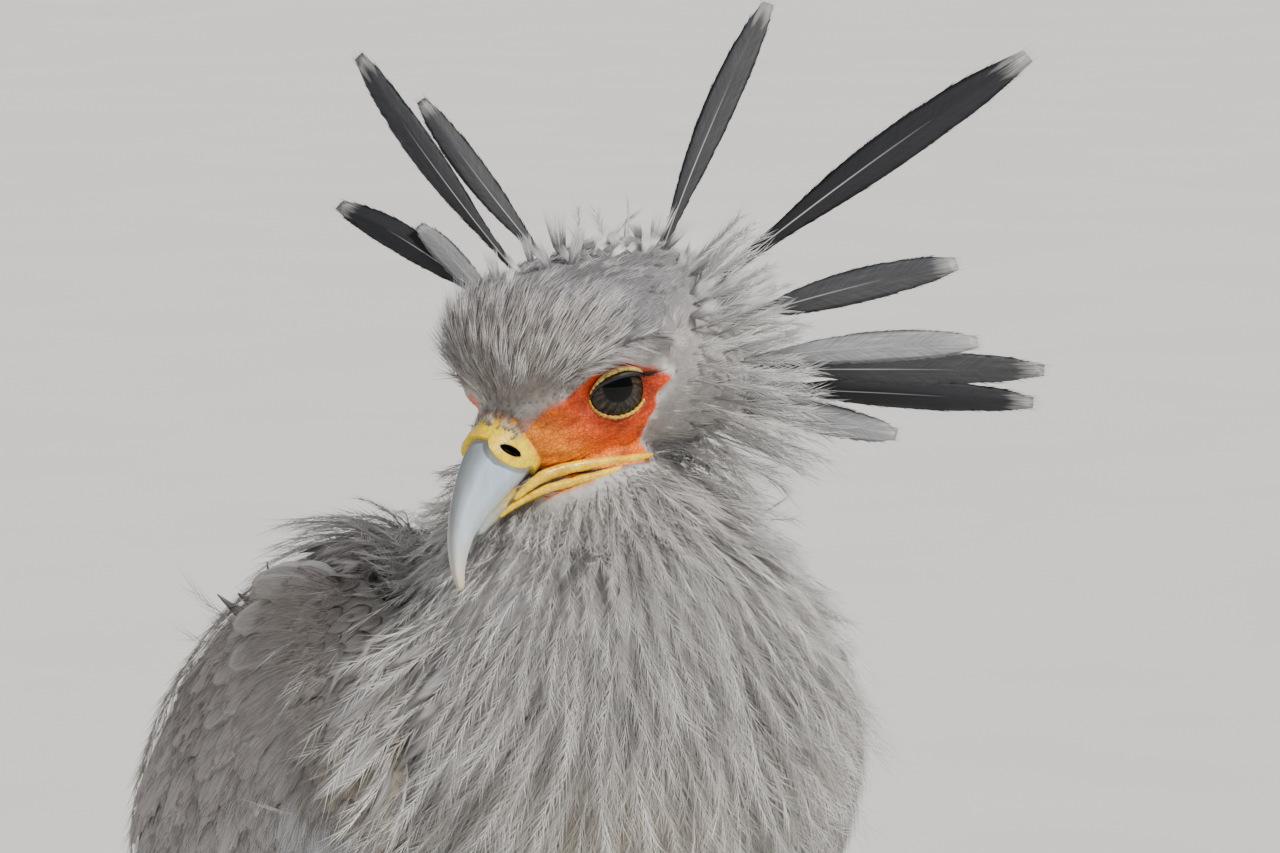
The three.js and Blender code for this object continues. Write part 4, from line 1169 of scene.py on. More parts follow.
def skin_finish():
    finish, nodes, shader = new_finish("skin and down", 0.6, specular=0.4)
    tint = nodes.add("ShaderNodeAttribute", attribute_name="tint").outputs["Color"]
    bare = nodes.add("ShaderNodeAttribute", attribute_name="bare").outputs["Fac"]
    where = place_of(nodes)
    creases = use_group(nodes, wrinkle_group(), {"Place": where, "Scale": 620.0, "Warp": 0.5})
    down = nodes.noise(where, 420.0, 5.0, 0.7)
    # On the bare face the tone is mottled, and painted darker in the creases as painted shade.
    mottle = nodes.range(creases["Mask"], 0.25, 0.65, 0.55, 1.3)
    fuzz = nodes.range(down, 0.3, 0.7, 0.7, 1.1)
    share = nodes.add("ShaderNodeMix", {0: bare, 2: fuzz, 3: mottle}, data_type="FLOAT").outputs[0]
    colour = nodes.add("ShaderNodeVectorMath", {0: tint, "Scale": share}, operation="SCALE")
    nodes.put(shader.inputs["Base Color"], colour.outputs[0])
    nodes.put(shader.inputs["Roughness"], nodes.range(bare, 0.0, 1.0, 0.95, 0.46))
    height = nodes.add("ShaderNodeMix", {0: bare, 2: down, 3: creases["Height"]}, data_type="FLOAT").outputs[0]
    bump(nodes, shader, height, 0.55, 0.0006)
    return finish


# Eyes, lids and lashes


def eye_finish():
    finish, nodes, shader = new_finish("eye", 0.6, coat=0.7, coat_roughness=0.02, specular=0.0)
    shader.inputs["Coat IOR"].default_value = 1.35
    gaze = nodes.add("ShaderNodeAttribute", attribute_name="gaze").outputs["Fac"]
    turn = nodes.add("ShaderNodeAttribute", attribute_name="turn").outputs["Color"]
    where = place_of(nodes)
    rays = nodes.noise(nodes.add(
        "ShaderNodeVectorMath", {0: turn, 1: (9.0, 9.0, 2.0)}, operation="MULTIPLY").outputs[0], 1.6, 4.0, 0.6)
    iris = nodes.ramp(rays, [(0.3, "#0f0d0b"), (0.5, "#2a261f"), (0.72, "#544c3d")])
    spread = nodes.math("ADD", gaze, nodes.math("MULTIPLY", nodes.math("SUBTRACT", rays, 0.5), 1.4))
    colour = nodes.mix(nodes.range(spread, 21.5, 24.0), (*linear("#020203"), 1), iris)
    colour = nodes.mix(nodes.range(spread, 44.0, 52.0), colour, (*linear("#15120f"), 1))
    nodes.put(shader.inputs["Base Color"], colour)
    grain = nodes.noise(where, 900.0, 2.0)
    bump(nodes, shader, grain, 0.01, 0.0001)
    return finish


def make_eye(side, name):
    """An eyeball whose poles lie along its gaze, with the clear bulge of its front."""
    piece = ball(name, 64, 64)
    centre, gaze, back, rise = eye_frame(side)
    # The bird looks a little up and ahead of the middle of its lids
    gaze = unit(gaze + rise * 0.27 - back * 0.02)
    back = unit(back - gaze * (back @ gaze))
    rise = np.cross(gaze, back) * side
    co = unit(positions(piece))
    angle = np.degrees(np.arccos(np.clip(co[:, 2], -1, 1)))
    bulge = 0.7 * step(44 - angle, 0, 30)
    points = centre + (
        back * co[:, :1] + rise * co[:, 1:2] + gaze * co[:, 2:3]) * (EYE_RADIUS - 0.25 + bulge)[:, None]
    place(piece, from_head(points))
    set_values(piece, "gaze", angle)
    flat = unit(co[:, :2] + 1e-9)
    set_values(piece, "turn", np.hstack([flat, angle[:, None] / 30]) * 0.5 + 0.5, "FLOAT_COLOR")
    return smooth(piece)


def tube(path, radii, sides=8, closed=False, flat=None, normal=None):
    """A closed tube along a path. radii are pairs: across the normal and along it."""
    path = np.asarray(path, float)
    n = len(path)
    radii = np.broadcast_to(np.asarray(radii, float), (n, 2))
    if closed:
        along = unit(np.roll(path, -1, 0) - np.roll(path, 1, 0))
    else:
        along = unit(np.gradient(path, axis=0))
    normal = unit(np.broadcast_to(normal, path.shape))
    normal = unit(normal - along * np.sum(normal * along, -1, keepdims=True))
    across = np.cross(along, normal)
    angles = np.linspace(0, 2 * np.pi, sides, endpoint=False)
    rings = (
        path[:, None]
        + across[:, None] * (np.cos(angles)[None] * radii[:, :1])[..., None]
        + normal[:, None] * (np.sin(angles)[None] * radii[:, 1:])[..., None]
    )
    points = rings.reshape(-1, 3)
    faces = []
    for i in range(n if closed else n - 1):
        j = (i + 1) % n
        for k in range(sides):
            m = (k + 1) % sides
            faces.append((i * sides + k, i * sides + m, j * sides + m, j * sides + k))
    if not closed:
        faces.append(tuple(range(sides)))
        faces.append(tuple(range((n - 1) * sides, n * sides)))
    return points, faces


def mesh_piece(name, parts, head=True):
    """One object from several closed lists of points and faces."""
    points, faces, start = [], [], 0
    for p, f in parts:
        points.append(p)
        faces += [tuple(i + start for i in face) for face in f]
        start += len(p)
    points = np.vstack(points)
    mesh = bpy.data.meshes.new(name)
    mesh.from_pydata([(0, 0, 0)] * len(points), [], faces)
    piece = bpy.data.objects.new(name, mesh)
    bpy.context.scene.collection.objects.link(piece)
    return place(piece, from_head(points) if head else points)


def on_eye(side, x, y, lift):
    """A point over the eyeball, by its place across the opening."""
    centre, gaze, back, rise = eye_frame(side)
    x, y, lift = np.broadcast_arrays(np.asarray(x, float), y, lift)
    x = x + EYE_AHEAD
    radius = EYE_RADIUS + lift
    out = np.sqrt(np.maximum(radius**2 - x**2 - y**2, 1))
    return centre + back * x[..., None] + rise * y[..., None] + gaze * out[..., None]


def lid_parts(side):
    """The golden rim of the lower lid and the pale crescent of the upper one."""
    a, b = EYE_OPENING
    centre, gaze, back, rise = eye_frame(side)
    round_ = np.linspace(0, 2 * np.pi, 120, endpoint=False)
    rim = on_eye(side, a * 0.99 * np.cos(round_), b * 0.99 * np.sin(round_), 0.35)
    under = np.clip(-np.sin(round_) + 0.3, 0, 1)
    bead = 0.36 + 0.26 * under + 0.16 * under * np.sin(round_ * 33)
    golden = tube(rim, np.stack([bead, bead], -1), 8, True, normal=unit(rim - centre))
    arc = np.linspace(0.1 * np.pi, 0.9 * np.pi, 48)
    share = np.sin((arc - arc[0]) / (arc[-1] - arc[0]) * np.pi)
    upper = on_eye(side, a * 1.02 * np.cos(arc), b * (1.02 + 0.1 * share) * np.sin(arc), 1.1)
    crescent = tube(upper, np.stack([0.2 + 0.8 * share, 0.3 + 0.45 * share], -1), 8, normal=unit(upper - centre))
    return golden, crescent


def lash_parts(side, random):
    """The dark upper margin, with fine lashes that trail back from its rear corner."""
    a, b = EYE_OPENING
    centre, gaze, back, rise = eye_frame(side)
    arc = np.linspace(-0.03 * np.pi, np.pi * 0.98, 60)
    share = np.sin(np.clip(arc / np.pi, 0, 1) * np.pi)
    line = on_eye(side, a * 0.99 * np.cos(arc), b * (0.93 - 0.05 * share) * np.sin(arc), 0.85)
    parts = [tube(line, np.stack([0.3 + 0.75 * share, 0.3 + 0.35 * share], -1), 6, normal=unit(line - centre))]
    for i in range(30):
        rear = i < 16
        angle = random.uniform(0.02, 0.24) * np.pi if rear else random.uniform(0.25, 0.95) * np.pi
        start = on_eye(side, a * 0.98 * np.cos(angle), b * 0.95 * np.sin(angle), 1.0)
        reach = random.uniform(6.5, 10.5) if rear else random.uniform(1.8, 3.2)
        way = back * 0.92 + gaze * 0.42 - rise * 0.08 if rear else rise * 0.75 + gaze * 0.75 + back * 0.5 * np.cos(angle)
        way = unit(way + random.normal(size=3) * 0.06)
        t = np.linspace(0, 1, 6)[:, None]
        path = start + way * reach * t + (rise * 0.1 - gaze * 0.25) * reach * t * t
        radius = 0.17 * (1 - t[:, 0]) + 0.03
        parts.append(tube(path, np.stack([radius, radius], -1), 4, normal=gaze))
    return parts


def simple_finish(name, low, high, roughness, scale=400.0, coat=0.0, creases=0.4, distance=0.0004, specular=0.5):
    """A surface of two close tones with fine creases. The darker tone falls in mottled patches and, as painted shade,
    in the creases.
    """
    finish, nodes, shader = new_finish(name, roughness, coat=coat, specular=specular)
    made = use_group(nodes, wrinkle_group(), {"Place": place_of(nodes), "Scale": scale, "Warp": creases})
    colour = nodes.mix(nodes.range(made["Mask"], 0.25, 0.6), (*linear(low), 1), (*linear(high), 1))
    nodes.put(shader.inputs["Base Color"], colour)
    bump(nodes, shader, made["Height"], 0.4, distance)
    return finish


# Bill


def horn_finish():
    """Pale blue-grey horn, streaked along its length and ivory at the hook."""
    finish, nodes, shader = new_finish("bill horn", 0.24, coat=0.5, coat_roughness=0.12)
    along = nodes.add("ShaderNodeAttribute", attribute_name="along").outputs["Fac"]
    rise = nodes.add("ShaderNodeAttribute", attribute_name="rise").outputs["Fac"]
    where = place_of(nodes)
    streaks = nodes.noise(nodes.add("ShaderNodeVectorMath", {0: where, 1: (260.0, 260.0, 60.0)},
                                    operation="MULTIPLY").outputs[0], 1.0, 4.0, 0.6)
    tone = nodes.ramp(along, [(0.0, "#a8bccb"), (0.3, "#b6c6d2"), (0.6, "#c9d1d6"), (0.8, "#dcd6c8"), (1.0, "#d6c49c")])
    pale = nodes.mix(nodes.range(rise, 0.3, 0.95), tone, (*linear("#dbe4ea"), 1))
    dark = nodes.mix(nodes.range(rise, -0.95, -0.7, 0.6, 0.0), pale, (*linear("#6d675c"), 1))
    shade = nodes.range(streaks, 0.3, 0.7, 0.86, 1.08)
    colour = nodes.add("ShaderNodeVectorMath", {0: dark, "Scale": shade}, operation="SCALE").outputs[0]
    # The nostril slits are painted near black, as shade inside them.
    hole = nodes.add("ShaderNodeAttribute", attribute_name="hole").outputs["Fac"]
    nodes.put(shader.inputs["Base Color"], nodes.mix(hole, colour, (*linear("#120d08"), 1)))
    bump(nodes, shader, streaks, 0.12, 0.0003)
    return finish


def mark_spine(piece, spine, low, high):
    """Stores how far along a spine and how high on it each point lies."""
    local = to_head(own_positions(piece))
    t = spine.nearest(local, 240)
    way = local - spine.line.at(t)
    below = unit(np.cross(spine.line.along(t), [1.0, 0, 0]))
    size = spine.sizes.at(t)
    drop = np.sum(way * below, -1)
    set_values(piece, "along", np.clip((t - low) / (high - low), 0, 1))
    set_values(piece, "rise", -drop / np.where(drop > 0, size[:, 2], size[:, 1]))


def make_bill():
    def edge(t, angle):
        keel = 1 + 0.05 * np.maximum(0, -np.sin(angle)) ** 6
        pinch = 1 - 0.05 * np.exp(-((np.sin(angle) - 0.55) / 0.2) ** 2) * step(0.75 - t, 0, 0.3)
        return keel * pinch

    bill = slice_face(body_on("bill", BILL, 96, 120, end=0.05, relief=edge, head=True), CERE_FRONT - 0.4, None)

    def swell(t, angle):
        return 1.02 + 0.035 * np.cos(angle) ** 2 + 0.008 * np.sin(t * 150) * np.maximum(0, np.cos(angle * 2))

    cere = slice_face(body_on("cere_skin", SADDLE, 96, 96, end=0.05, relief=swell, head=True),
                      FACE_FRONT - 4, CERE_FRONT + 0.5)
    # A swollen rim runs round each slanting nostril
    turn = np.array(Matrix.Rotation(math.radians(-56), 3, "X"))
    rims = []
    for side in (-1, 1):
        rim = ball("rim", 48, 32)
        place(rim, from_head((unit(positions(rim)) * [7, 10, 6]) @ turn.T + [side * 9.4, -39.8, 0]))
        rims.append(rim)
    lobe = slice_face(body_on("lobe", SADDLE, 96, 96, end=0.05, relief=lambda t, angle: swell(t, angle) + 0.03,
                              head=True), FACE_FRONT - 3, CERE_FRONT + 12)
    cut_with(lobe, joined("rims", rims), "INTERSECT")
    cut_with(cere, lobe, "UNION")
    apply_modifier(cere, "SMOOTH", factor=0.5, iterations=8)
    slits = [(np.array([side * 10.2, -41.6, 0.3]), np.array([3.2, 4.1, 1.45])) for side in (-1, 1)]
    for piece in (bill, cere):
        for at, radii in slits:
            slot = ball("slot", 32, 24)
            place(slot, from_head((unit(positions(slot)) * radii) @ turn.T + at))
            cut_with(piece, slot)
        local = to_head(own_positions(piece))
        # Each nostril slit and its rim are painted near black, as shade inside the nostril.
        hole = np.zeros(len(local))
        for at, radii in slits:
            way = (local - at) @ turn / radii
            hole = np.maximum(hole, step(1.12 - np.linalg.norm(way, axis=1), 0, 0.1))
        set_values(piece, "hole", hole)
    mark_spine(bill, BILL, 0.22, 1)
    behind = local[:, 1] + 35.2 + 0.15 * local[:, 2] + 0.8 * ripple(local, 2.5, 14)
    set_values(cere, "rear", step(behind, -2, 2.5))
    jaw = slice_face(body_on("lower_bill", JAW, 64, 80, end=0.08, head=True), FACE_FRONT - 6, None)
    mark_spine(jaw, JAW, 0.3, 1)
    lips = []
    for side in (-1, 1):
        for spine in lip_spines(side):
            lips.append(body_on("lip", spine, 32, 80, end=0.08, head=True,
                                relief=lambda t, angle: 1.04 + 0.04 * np.sin(t * 46)))
    return bill, cere, jaw, joined("gape_lips", lips)


def cere_finish():
    finish, nodes, shader = new_finish("cere skin", 0.36, coat=0.15, coat_roughness=0.25)
    hole = nodes.add("ShaderNodeAttribute", attribute_name="hole").outputs["Fac"]
    rear = nodes.add("ShaderNodeAttribute", attribute_name="rear").outputs["Fac"]
    made = use_group(nodes, wrinkle_group(), {"Place": place_of(nodes), "Scale": 420.0, "Warp": 0.3})
    # The darker yellow and orange fall in mottled patches and, as painted shade, in the creases.
    mottle_and_crease_shade = nodes.range(made["Mask"], 0.2, 0.6)
    colour = nodes.mix(mottle_and_crease_shade, (*linear("#dba600"), 1), (*linear("#ffe200"), 1))
    skin = nodes.mix(mottle_and_crease_shade, (*linear("#d4620a"), 1), (*linear("#f39a10"), 1))
    colour = nodes.mix(rear, colour, skin)
    # The nostril slits are painted near black, as shade inside them.
    colour = nodes.mix(hole, colour, (*linear("#120d08"), 1))
    nodes.put(shader.inputs["Base Color"], colour)
    bump(nodes, shader, made["Height"], 0.3, 0.0003)
    return finish


def jaw_finish():
    """Yellow at the gape, turning to pale horn towards the tip."""
    finish, nodes, shader = new_finish("lower bill", 0.34, coat=0.25)
    along = nodes.add("ShaderNodeAttribute", attribute_name="along").outputs["Fac"]
    made = use_group(nodes, wrinkle_group(), {"Place": place_of(nodes), "Scale": 420.0, "Warp": 0.3})
    tone = nodes.ramp(along, [(0.0, "#e3b010"), (0.3, "#cfa92a"), (0.55, "#9c9a80"), (1.0, "#a9b3b8")])
    # The tone is mottled, and painted darker in the creases as painted shade.
    shade = nodes.range(made["Mask"], 0.2, 0.6, 0.8, 1.1)
    colour = nodes.add("ShaderNodeVectorMath", {0: tone, "Scale": shade}, operation="SCALE")
    nodes.put(shader.inputs["Base Color"], colour.outputs[0])
    bump(nodes, shader, made["Height"], 0.25, 0.0003)
    return finish


# The lie of the coat


def tangent(way, normal):
    return unit(way - normal * np.sum(way * normal, -1, keepdims=True))


def lifted(along, face, degrees):
    """Turns feathers out from the skin. Returns their new lie and face."""
    rise = np.radians(np.broadcast_to(degrees, (len(along),)))[:, None]
    return along * np.cos(rise) + face * np.sin(rise), face * np.cos(rise) - along * np.sin(rise)


def head_flow(local, normal):
    """Feathers lie away from the base of the bill, round the eye and down the throat."""
    way = unit(local - [0, -36, -2])
    for side in (-1, 1):
        centre, gaze, back, rise = eye_frame(side)
        apart = local - (centre + gaze * EYE_RADIUS)
        near = np.exp(-np.sum(apart**2, -1) / 20**2)[:, None]
        way = way + unit(apart) * near * 0.7
    way[:, 1] += 0.35
    return tangent(way, normal)


def body_flow(points, normal):
    """Feathers run down the neck and fan over the breast, and then lie back along the body."""
    upper = NECK.line.along(NECK.nearest(points))
    lower = TORSO.line.along(TORSO.nearest(points))
    way = blend(upper, lower, step(800 - points[:, 2], 0, 60))
    front = step(-points[:, 1], 70, 130)[:, None]
    way = way + np.array([0, 0.0, -0.9]) * front
    way[:, 0] += (points[:, 0] + 6) * 0.012 * front[:, 0]
    # They part to both sides where the neck widens into the shoulders
    fan = step(856 - points[:, 2], 0, 40) * step(points[:, 2], 690, 790)
    way[:, 0] += np.clip((points[:, 0] + 6) * 0.021, -1.0, 1.0) * fan
    return tangent(way, normal)


class Ground:
    """Tells how a skin turns away beneath a feather, so that the feather can follow it."""

    def __init__(self, piece):
        bpy.context.view_layer.update()
        self.tree = BVHTree.FromObject(piece, bpy.context.evaluated_depsgraph_get())

    def turn(self, root, along, length, share=0.75):
        length = np.broadcast_to(length, (len(root),))
        ends = (root + along * (length * share)[:, None] + SHIFT) / 1000
        found = [self.tree.find_nearest(Vector(end)) for end in ends]
        normals = np.array([tuple(hit[1]) for hit in found])
        return np.arcsin(np.clip(np.sum(normals * along, -1), -0.35, 0.7)) / share

    def seen(self, across, up):
        """Places on the head's skin that the viewer sees at these distances across and up from between the eyes."""
        found = []
        away = Vector(VIEW_OUT @ HEAD_ROTATION.T)
        for u, v in zip(across, up):
            hit = None
            while hit is None:
                start = from_head(VIEW_RIGHT * u + VIEW_UP * v + VIEW_OUT * 200)
                hit = self.tree.ray_cast(Vector((start + SHIFT) / 1000), -away)[0]
                u, v = u * 0.99, v - 0.6
            found.append(np.array(hit) * 1000 - SHIFT)
        return to_head(found)


def wing_places(points):
    """For each point the gap to the nearer wing, and the share along and the height on it."""
    gap = np.full(len(points), 999.0)
    t, height = np.zeros(len(points)), np.zeros(len(points))
    close = np.nonzero((np.abs(points[:, 0]) > 30) & (points[:, 2] > 540))[0]
    for side in (-1, 1):
        if side not in WING_TREES:
            shares, heights = np.meshgrid(np.linspace(0.01, 0.99, 70), np.linspace(-0.99, 0.99, 50))
            marks = wing_spine(side).surface(shares.ravel(), heights.ravel(), side)
            tree = KDTree(len(marks))
            for number, mark in enumerate(marks):
                tree.insert(mark, number)
            tree.balance()
            WING_TREES[side] = tree, shares.ravel(), heights.ravel()
        tree, shares, heights = WING_TREES[side]
        mine = close[points[close, 0] * side > 0]
        for number in mine:
            _, index, far = tree.find(points[number])
            gap[number], t[number], height[number] = far, shares[index], heights[index]
    return gap, t, height


WING_TREES = {}


def make_head_coat(skin, sizes, ground):
    """Fine hair-like feathers over the head, shortest towards the bare face."""
    def feathered(points, normals):
        local = to_head(points)
        reach = FACE_FRONT + 1.5 + 3.5 * step(local[:, 2], -2, 6) * step(11 - np.abs(local[:, 0]), 0, 5)
        low = (local[:, 2] < -22) & (bareness(local) < -0.4)
        return (points[:, 2] > 843) & (bareness(local) < -0.2) & ((local @ SLANT < reach) | low)

    roots, normals = scattered(skin, sizes.head_spacing * 1000, feathered, 31)
    local = to_head(roots)
    random = np.random.default_rng(41)
    n = len(roots)
    lie = head_flow(local, normals @ HEAD_ROTATION) @ HEAD_ROTATION.T
    lie = unit(blend(lie, body_flow(roots, normals), step(866 - roots[:, 2], -6, 16)))
    edge = np.minimum(-bareness(local), FACE_FRONT + 2 - local @ SLANT)
    grown = step(edge, 0, 8)
    front = step(-local[:, 1], -4, 16) * step(local[:, 2], -2, 10)
    flank = step(-local[:, 1], -6, 4) * step(np.abs(local[:, 0]), 14, 26)
    crown = step(local[:, 2], 14, 26) * (1 - front)
    rear = step(local[:, 1], 22, 42)
    throat = step(-local[:, 2], 20, 34)
    length = 3.4 + grown * (4.6 + 4 * front + 4 * flank + 4 * rear + 10 * throat)
    length = length * random.uniform(0.75, 1.25, n)
    lift = 11 + 12 * front * (1 - crown) + 16 * flank + 5 * rear + 3 * throat + random.normal(size=n) * 4
    lie = unit(lie + random.normal(size=lie.shape) * (0.07 + 0.05 * front)[:, None])
    turn = ground.turn(roots, lie, length)
    lie, face = lifted(lie, normals, np.maximum(lift + 10 * np.clip(turn, -1, 0), 3))
    tint = head_tint(local)
    pale = random.random(n) < 0.42
    tint = np.where(pale[:, None], blend(tint, INK["white"], 0.75), tint * 0.95)
    tint = varied(tint, random, 0.1)
    forms = [hair_tuft(random, 6, 0.9) for _ in range(10)]
    coats = []
    for number, (name, chosen) in enumerate((
        ("head_feathers_front", local[:, 1] < 4), ("head_feathers_rear", local[:, 1] >= 4),
    )):
        coat = Coat(42 + number)
        c = chosen
        coat.lay(forms, (roots + normals * (0.5 * throat - 0.4)[:, None])[c], lie[c], face[c], length[c], length[c] * 0.34 + 1.2, tint[c],
                 spherical_map(local)[c], bend=-turn[c] - 0.25, sweep=random.normal(size=c.sum()) * 0.25,
                 thick=(0.12 + 0.04 * grown + 0.06 * throat)[c])
        coats.append(coat.build(name))
    return coats


def make_brow_coat(cere):
    """Bristly feathers that reach down over the rear of the cere."""
    def top(points, normals):
        local = to_head(points)
        return (local[:, 1] > -39.6 - 0.15 * local[:, 2]) & (local[:, 2] > 2.5)

    roots, normals = scattered(cere, 1.0, top, 57)
    local = to_head(roots)
    coat = Coat(58)
    random = coat.random
    n = len(roots)
    lie = head_flow(local, normals @ HEAD_ROTATION) @ HEAD_ROTATION.T
    lie, face = lifted(unit(lie + random.normal(size=lie.shape) * 0.2), normals, random.uniform(14, 42, n))
    tint = varied(blend(INK["brow"], INK["white"], 0.6 * random.random(n)), random, 0.15)
    coat.lay([hair_tuft(random, 4, 0.9) for _ in range(6)], roots - normals * 0.3, lie, face,
             random.uniform(3.5, 6.5, n), 2.8, tint, spherical_map(local), bend=-0.3, thick=0.13)
    return coat.build("brow_feathers")


def make_chin_coat():
    """Short pale feathers along the underside of the lower bill."""
    random = np.random.default_rng(45)
    n = 620
    t = random.uniform(0.0, 0.56, n)
    angle = random.uniform(0.3, math.pi - 0.3, n)
    at, lie, down, face = JAW.seat(t, np.sin(angle), np.where(np.cos(angle) < 0, -1, 1))
    back = tangent(np.repeat([[0, 0.9, -0.5]], n, 0), face)
    way, out = lifted(unit(back + random.normal(size=back.shape) * 0.12), face, 16 + random.normal(size=n) * 6)
    tint = varied(np.repeat(blend(INK["cheek"], INK["white"], 0.4)[None], n, 0), random, 0.1)
    length = random.uniform(8, 14, n) + 8 * step(0.3 - t, 0, 0.3)
    coat = Coat(46)
    coat.lay([hair_tuft(random, 6, 0.9) for _ in range(6)], from_head(at), way @ HEAD_ROTATION.T, out @ HEAD_ROTATION.T,
             length, length * 0.3 + 1.2, tint, spherical_map(at), bend=-0.35, thick=0.14)
    return coat.build("chin_feathers")


def make_bristles(skin):
    """Fine dark bristles on the bare face."""
    def bare(points, normals):
        local = to_head(points)
        d = np.minimum(eye_distance(local, -1)[0], eye_distance(local, 1)[0])
        return (bareness(local) > 0.4) & (d > 1.45) & (local @ SLANT < FACE_FRONT) & (local[:, 2] > -24)

    roots, normals = scattered(skin, 1.7, bare, 51)
    local = to_head(roots)
    coat = Coat(52)
    random = coat.random
    n = len(roots)
    lie = head_flow(local, normals @ HEAD_ROTATION) @ HEAD_ROTATION.T
    lie, face = lifted(unit(lie + random.normal(size=lie.shape) * 0.25), normals, random.uniform(8, 30, n))
    tint = np.repeat(linear("#3a1d12")[None], n, 0)
    forms = [Form().spike((0, 0, 0), (1, 0, 0), 1, 2, (0, 0, 0.2))]
    coat.lay(forms, roots - normals * 0.3, lie, face, random.uniform(1.6, 3.6, n), 1.2, tint,
             spherical_map(local), bend=-0.4, thick=0.075)
    return coat.build("face_bristles")


def make_breast_coat(skin, sizes, ground):
    """Soft blades, and over them long loose strands from the throat down neck and breast."""
    def wanted(points, normals):
        mask = (points[:, 2] < 876) & (points[:, 2] > 640) & (points[:, 1] < 10 + 30 * (points[:, 2] > 790))
        local = to_head(points[mask])
        mask[mask] = (points[mask, 2] < 852) | ((local[:, 2] < -22) & (bareness(local) < -2))
        mask[mask] &= wing_places(points[mask])[0] > 8
        mask[mask] &= np.abs(points[mask, 0] + 6) < 88 - 22 * (points[mask, 1] > -40)
        return mask

    coats = []
    for layer, spacing in enumerate((sizes.breast_spacing * 1.6, sizes.breast_spacing)):
        roots, normals = scattered(skin, spacing * 1000, wanted, 61 + layer)
        if layer == 0:
            low = (roots[:, 2] < 836) | (bareness(to_head(roots)) < -5)
            roots, normals = roots[low], normals[low]
        random = np.random.default_rng(70 + layer)
        n = len(roots)
        lie = body_flow(roots, normals)
        # Neighbours lean the same way, in wisps
        wisp = np.cross(lie, normals) * (0.2 * ripple(roots, 22, 63))[:, None]
        lie = unit(lie + wisp + random.normal(size=(n, 3)) * (0.04 if layer == 0 else 0.09))
        grown = step(876 - roots[:, 2], 0, 70)
        length = (20 + 34 * grown) * random.uniform(0.75, 1.2, n)
        length = length * (1 - 0.5 * step(-to_head(roots)[:, 1], 30, 44) * step(roots[:, 2], 830, 838))
        turn = ground.turn(roots, lie, length)
        tint = body_tint(roots)
        if layer == 0:
            lie, face = lifted(lie, normals, 4 + random.normal(size=n))
            coat = Coat(72)
            # The blades beneath the strands are painted darker (tint times 0.7), as shade in the gaps between the
            # strands.
            coat.lay([blade(random) for _ in range(8)], roots - normals * 1.5, lie, face, length * 0.7, 3 + length * 0.14,
                     varied(tint * 0.7, random, 0.05), spine_map(NECK, roots), bend=-turn, thick=0.2)
            coats.append(coat.build("breast_down"))
            continue
        aside = step(np.abs(roots[:, 0] + 6), 25, 60)
        high = step(roots[:, 2], 828, 846)
        lie, face = lifted(lie, normals, 11 + 7 * aside + 9 * high + random.normal(size=n) * 5)
        roots = roots + normals * high[:, None] * 1.6
        tint = varied(blend(tint, INK["white"] * 1.12, random.random(n)), random, 0.08)
        forms = [loose_feather(random, 27, 0.24, shaft=1.9) for _ in range(12)]
        for number, (name, chosen) in enumerate((
            ("throat_strands", roots[:, 2] >= 826), ("neck_strands", (roots[:, 2] < 826) & (roots[:, 2] >= 786)),
            ("breast_strands", (roots[:, 2] < 786) & (roots[:, 2] >= 732)), ("belly_strands", roots[:, 2] < 732),
        )):
            coat = Coat(74 + number)
            c = chosen
            m = int(c.sum())
            coat.lay(forms, (roots - normals * 1.2)[c], lie[c], face[c], length[c], 3.4 + length[c] * 0.13, tint[c],
                     spine_map(NECK, roots)[c], bend=-turn[c] - 0.06 + random.normal(size=m) * 0.08,
                     sweep=random.normal(size=m) * 0.15, roll=random.normal(size=m) * 0.4, thick=0.135)
            coats.append(coat.build(name))
    return coats


def make_body_coat(skin, sizes, ground):
    """Feathers of belly, back and rump, with the dark vent."""
    def wanted(points, normals):
        mask = (points[:, 2] > 560) & ((points[:, 1] >= 10) | (points[:, 2] <= 640))
        for side in (-1, 1):
            spine = thigh_spine(side)
            at = spine.line.at(spine.nearest(points[mask], 60))
            mask[mask] = (np.linalg.norm(points[mask] - at, axis=1) > 56) | (points[mask, 2] > 655)
        mask[mask] = wing_places(points[mask])[0] > 8
        mask &= (np.abs(points[:, 0]) < 80) | (points[:, 1] > 60) | (points[:, 2] < 780)
        return mask

    roots, normals = scattered(skin, sizes.body_spacing * 1000, wanted, 81)
    coat = Coat(82)
    random = coat.random
    n = len(roots)
    lie = unit(body_flow(roots, normals) + random.normal(size=(n, 3)) * 0.1)
    length = random.uniform(34, 50, n)
    turn = ground.turn(roots, lie, length)
    lie, face = lifted(lie, normals, 9 + random.normal(size=n) * 3)
    tint = varied(body_tint(roots), random, 0.12)
    forms = [loose_feather(random, 12, 0.3) for _ in range(6)]
    leaf = [blade(random) for _ in range(6)]
    spot = spine_map(TORSO, roots)
    # The blades under the loose feathers are painted darker (tint times 0.9), as shade beneath them.
    coat.lay(leaf, roots - normals * 2, lie, face, length * 0.8, length * 0.34, tint * 0.9, spot, bend=-turn, thick=0.4)
    coat.lay(forms, roots - normals, lie, face, length, length * 0.2, tint, spot, bend=-turn - 0.1,
             sweep=random.normal(size=n) * 0.15, roll=random.normal(size=n) * 0.2, thick=0.22)
    return coat.build("body_feathers")


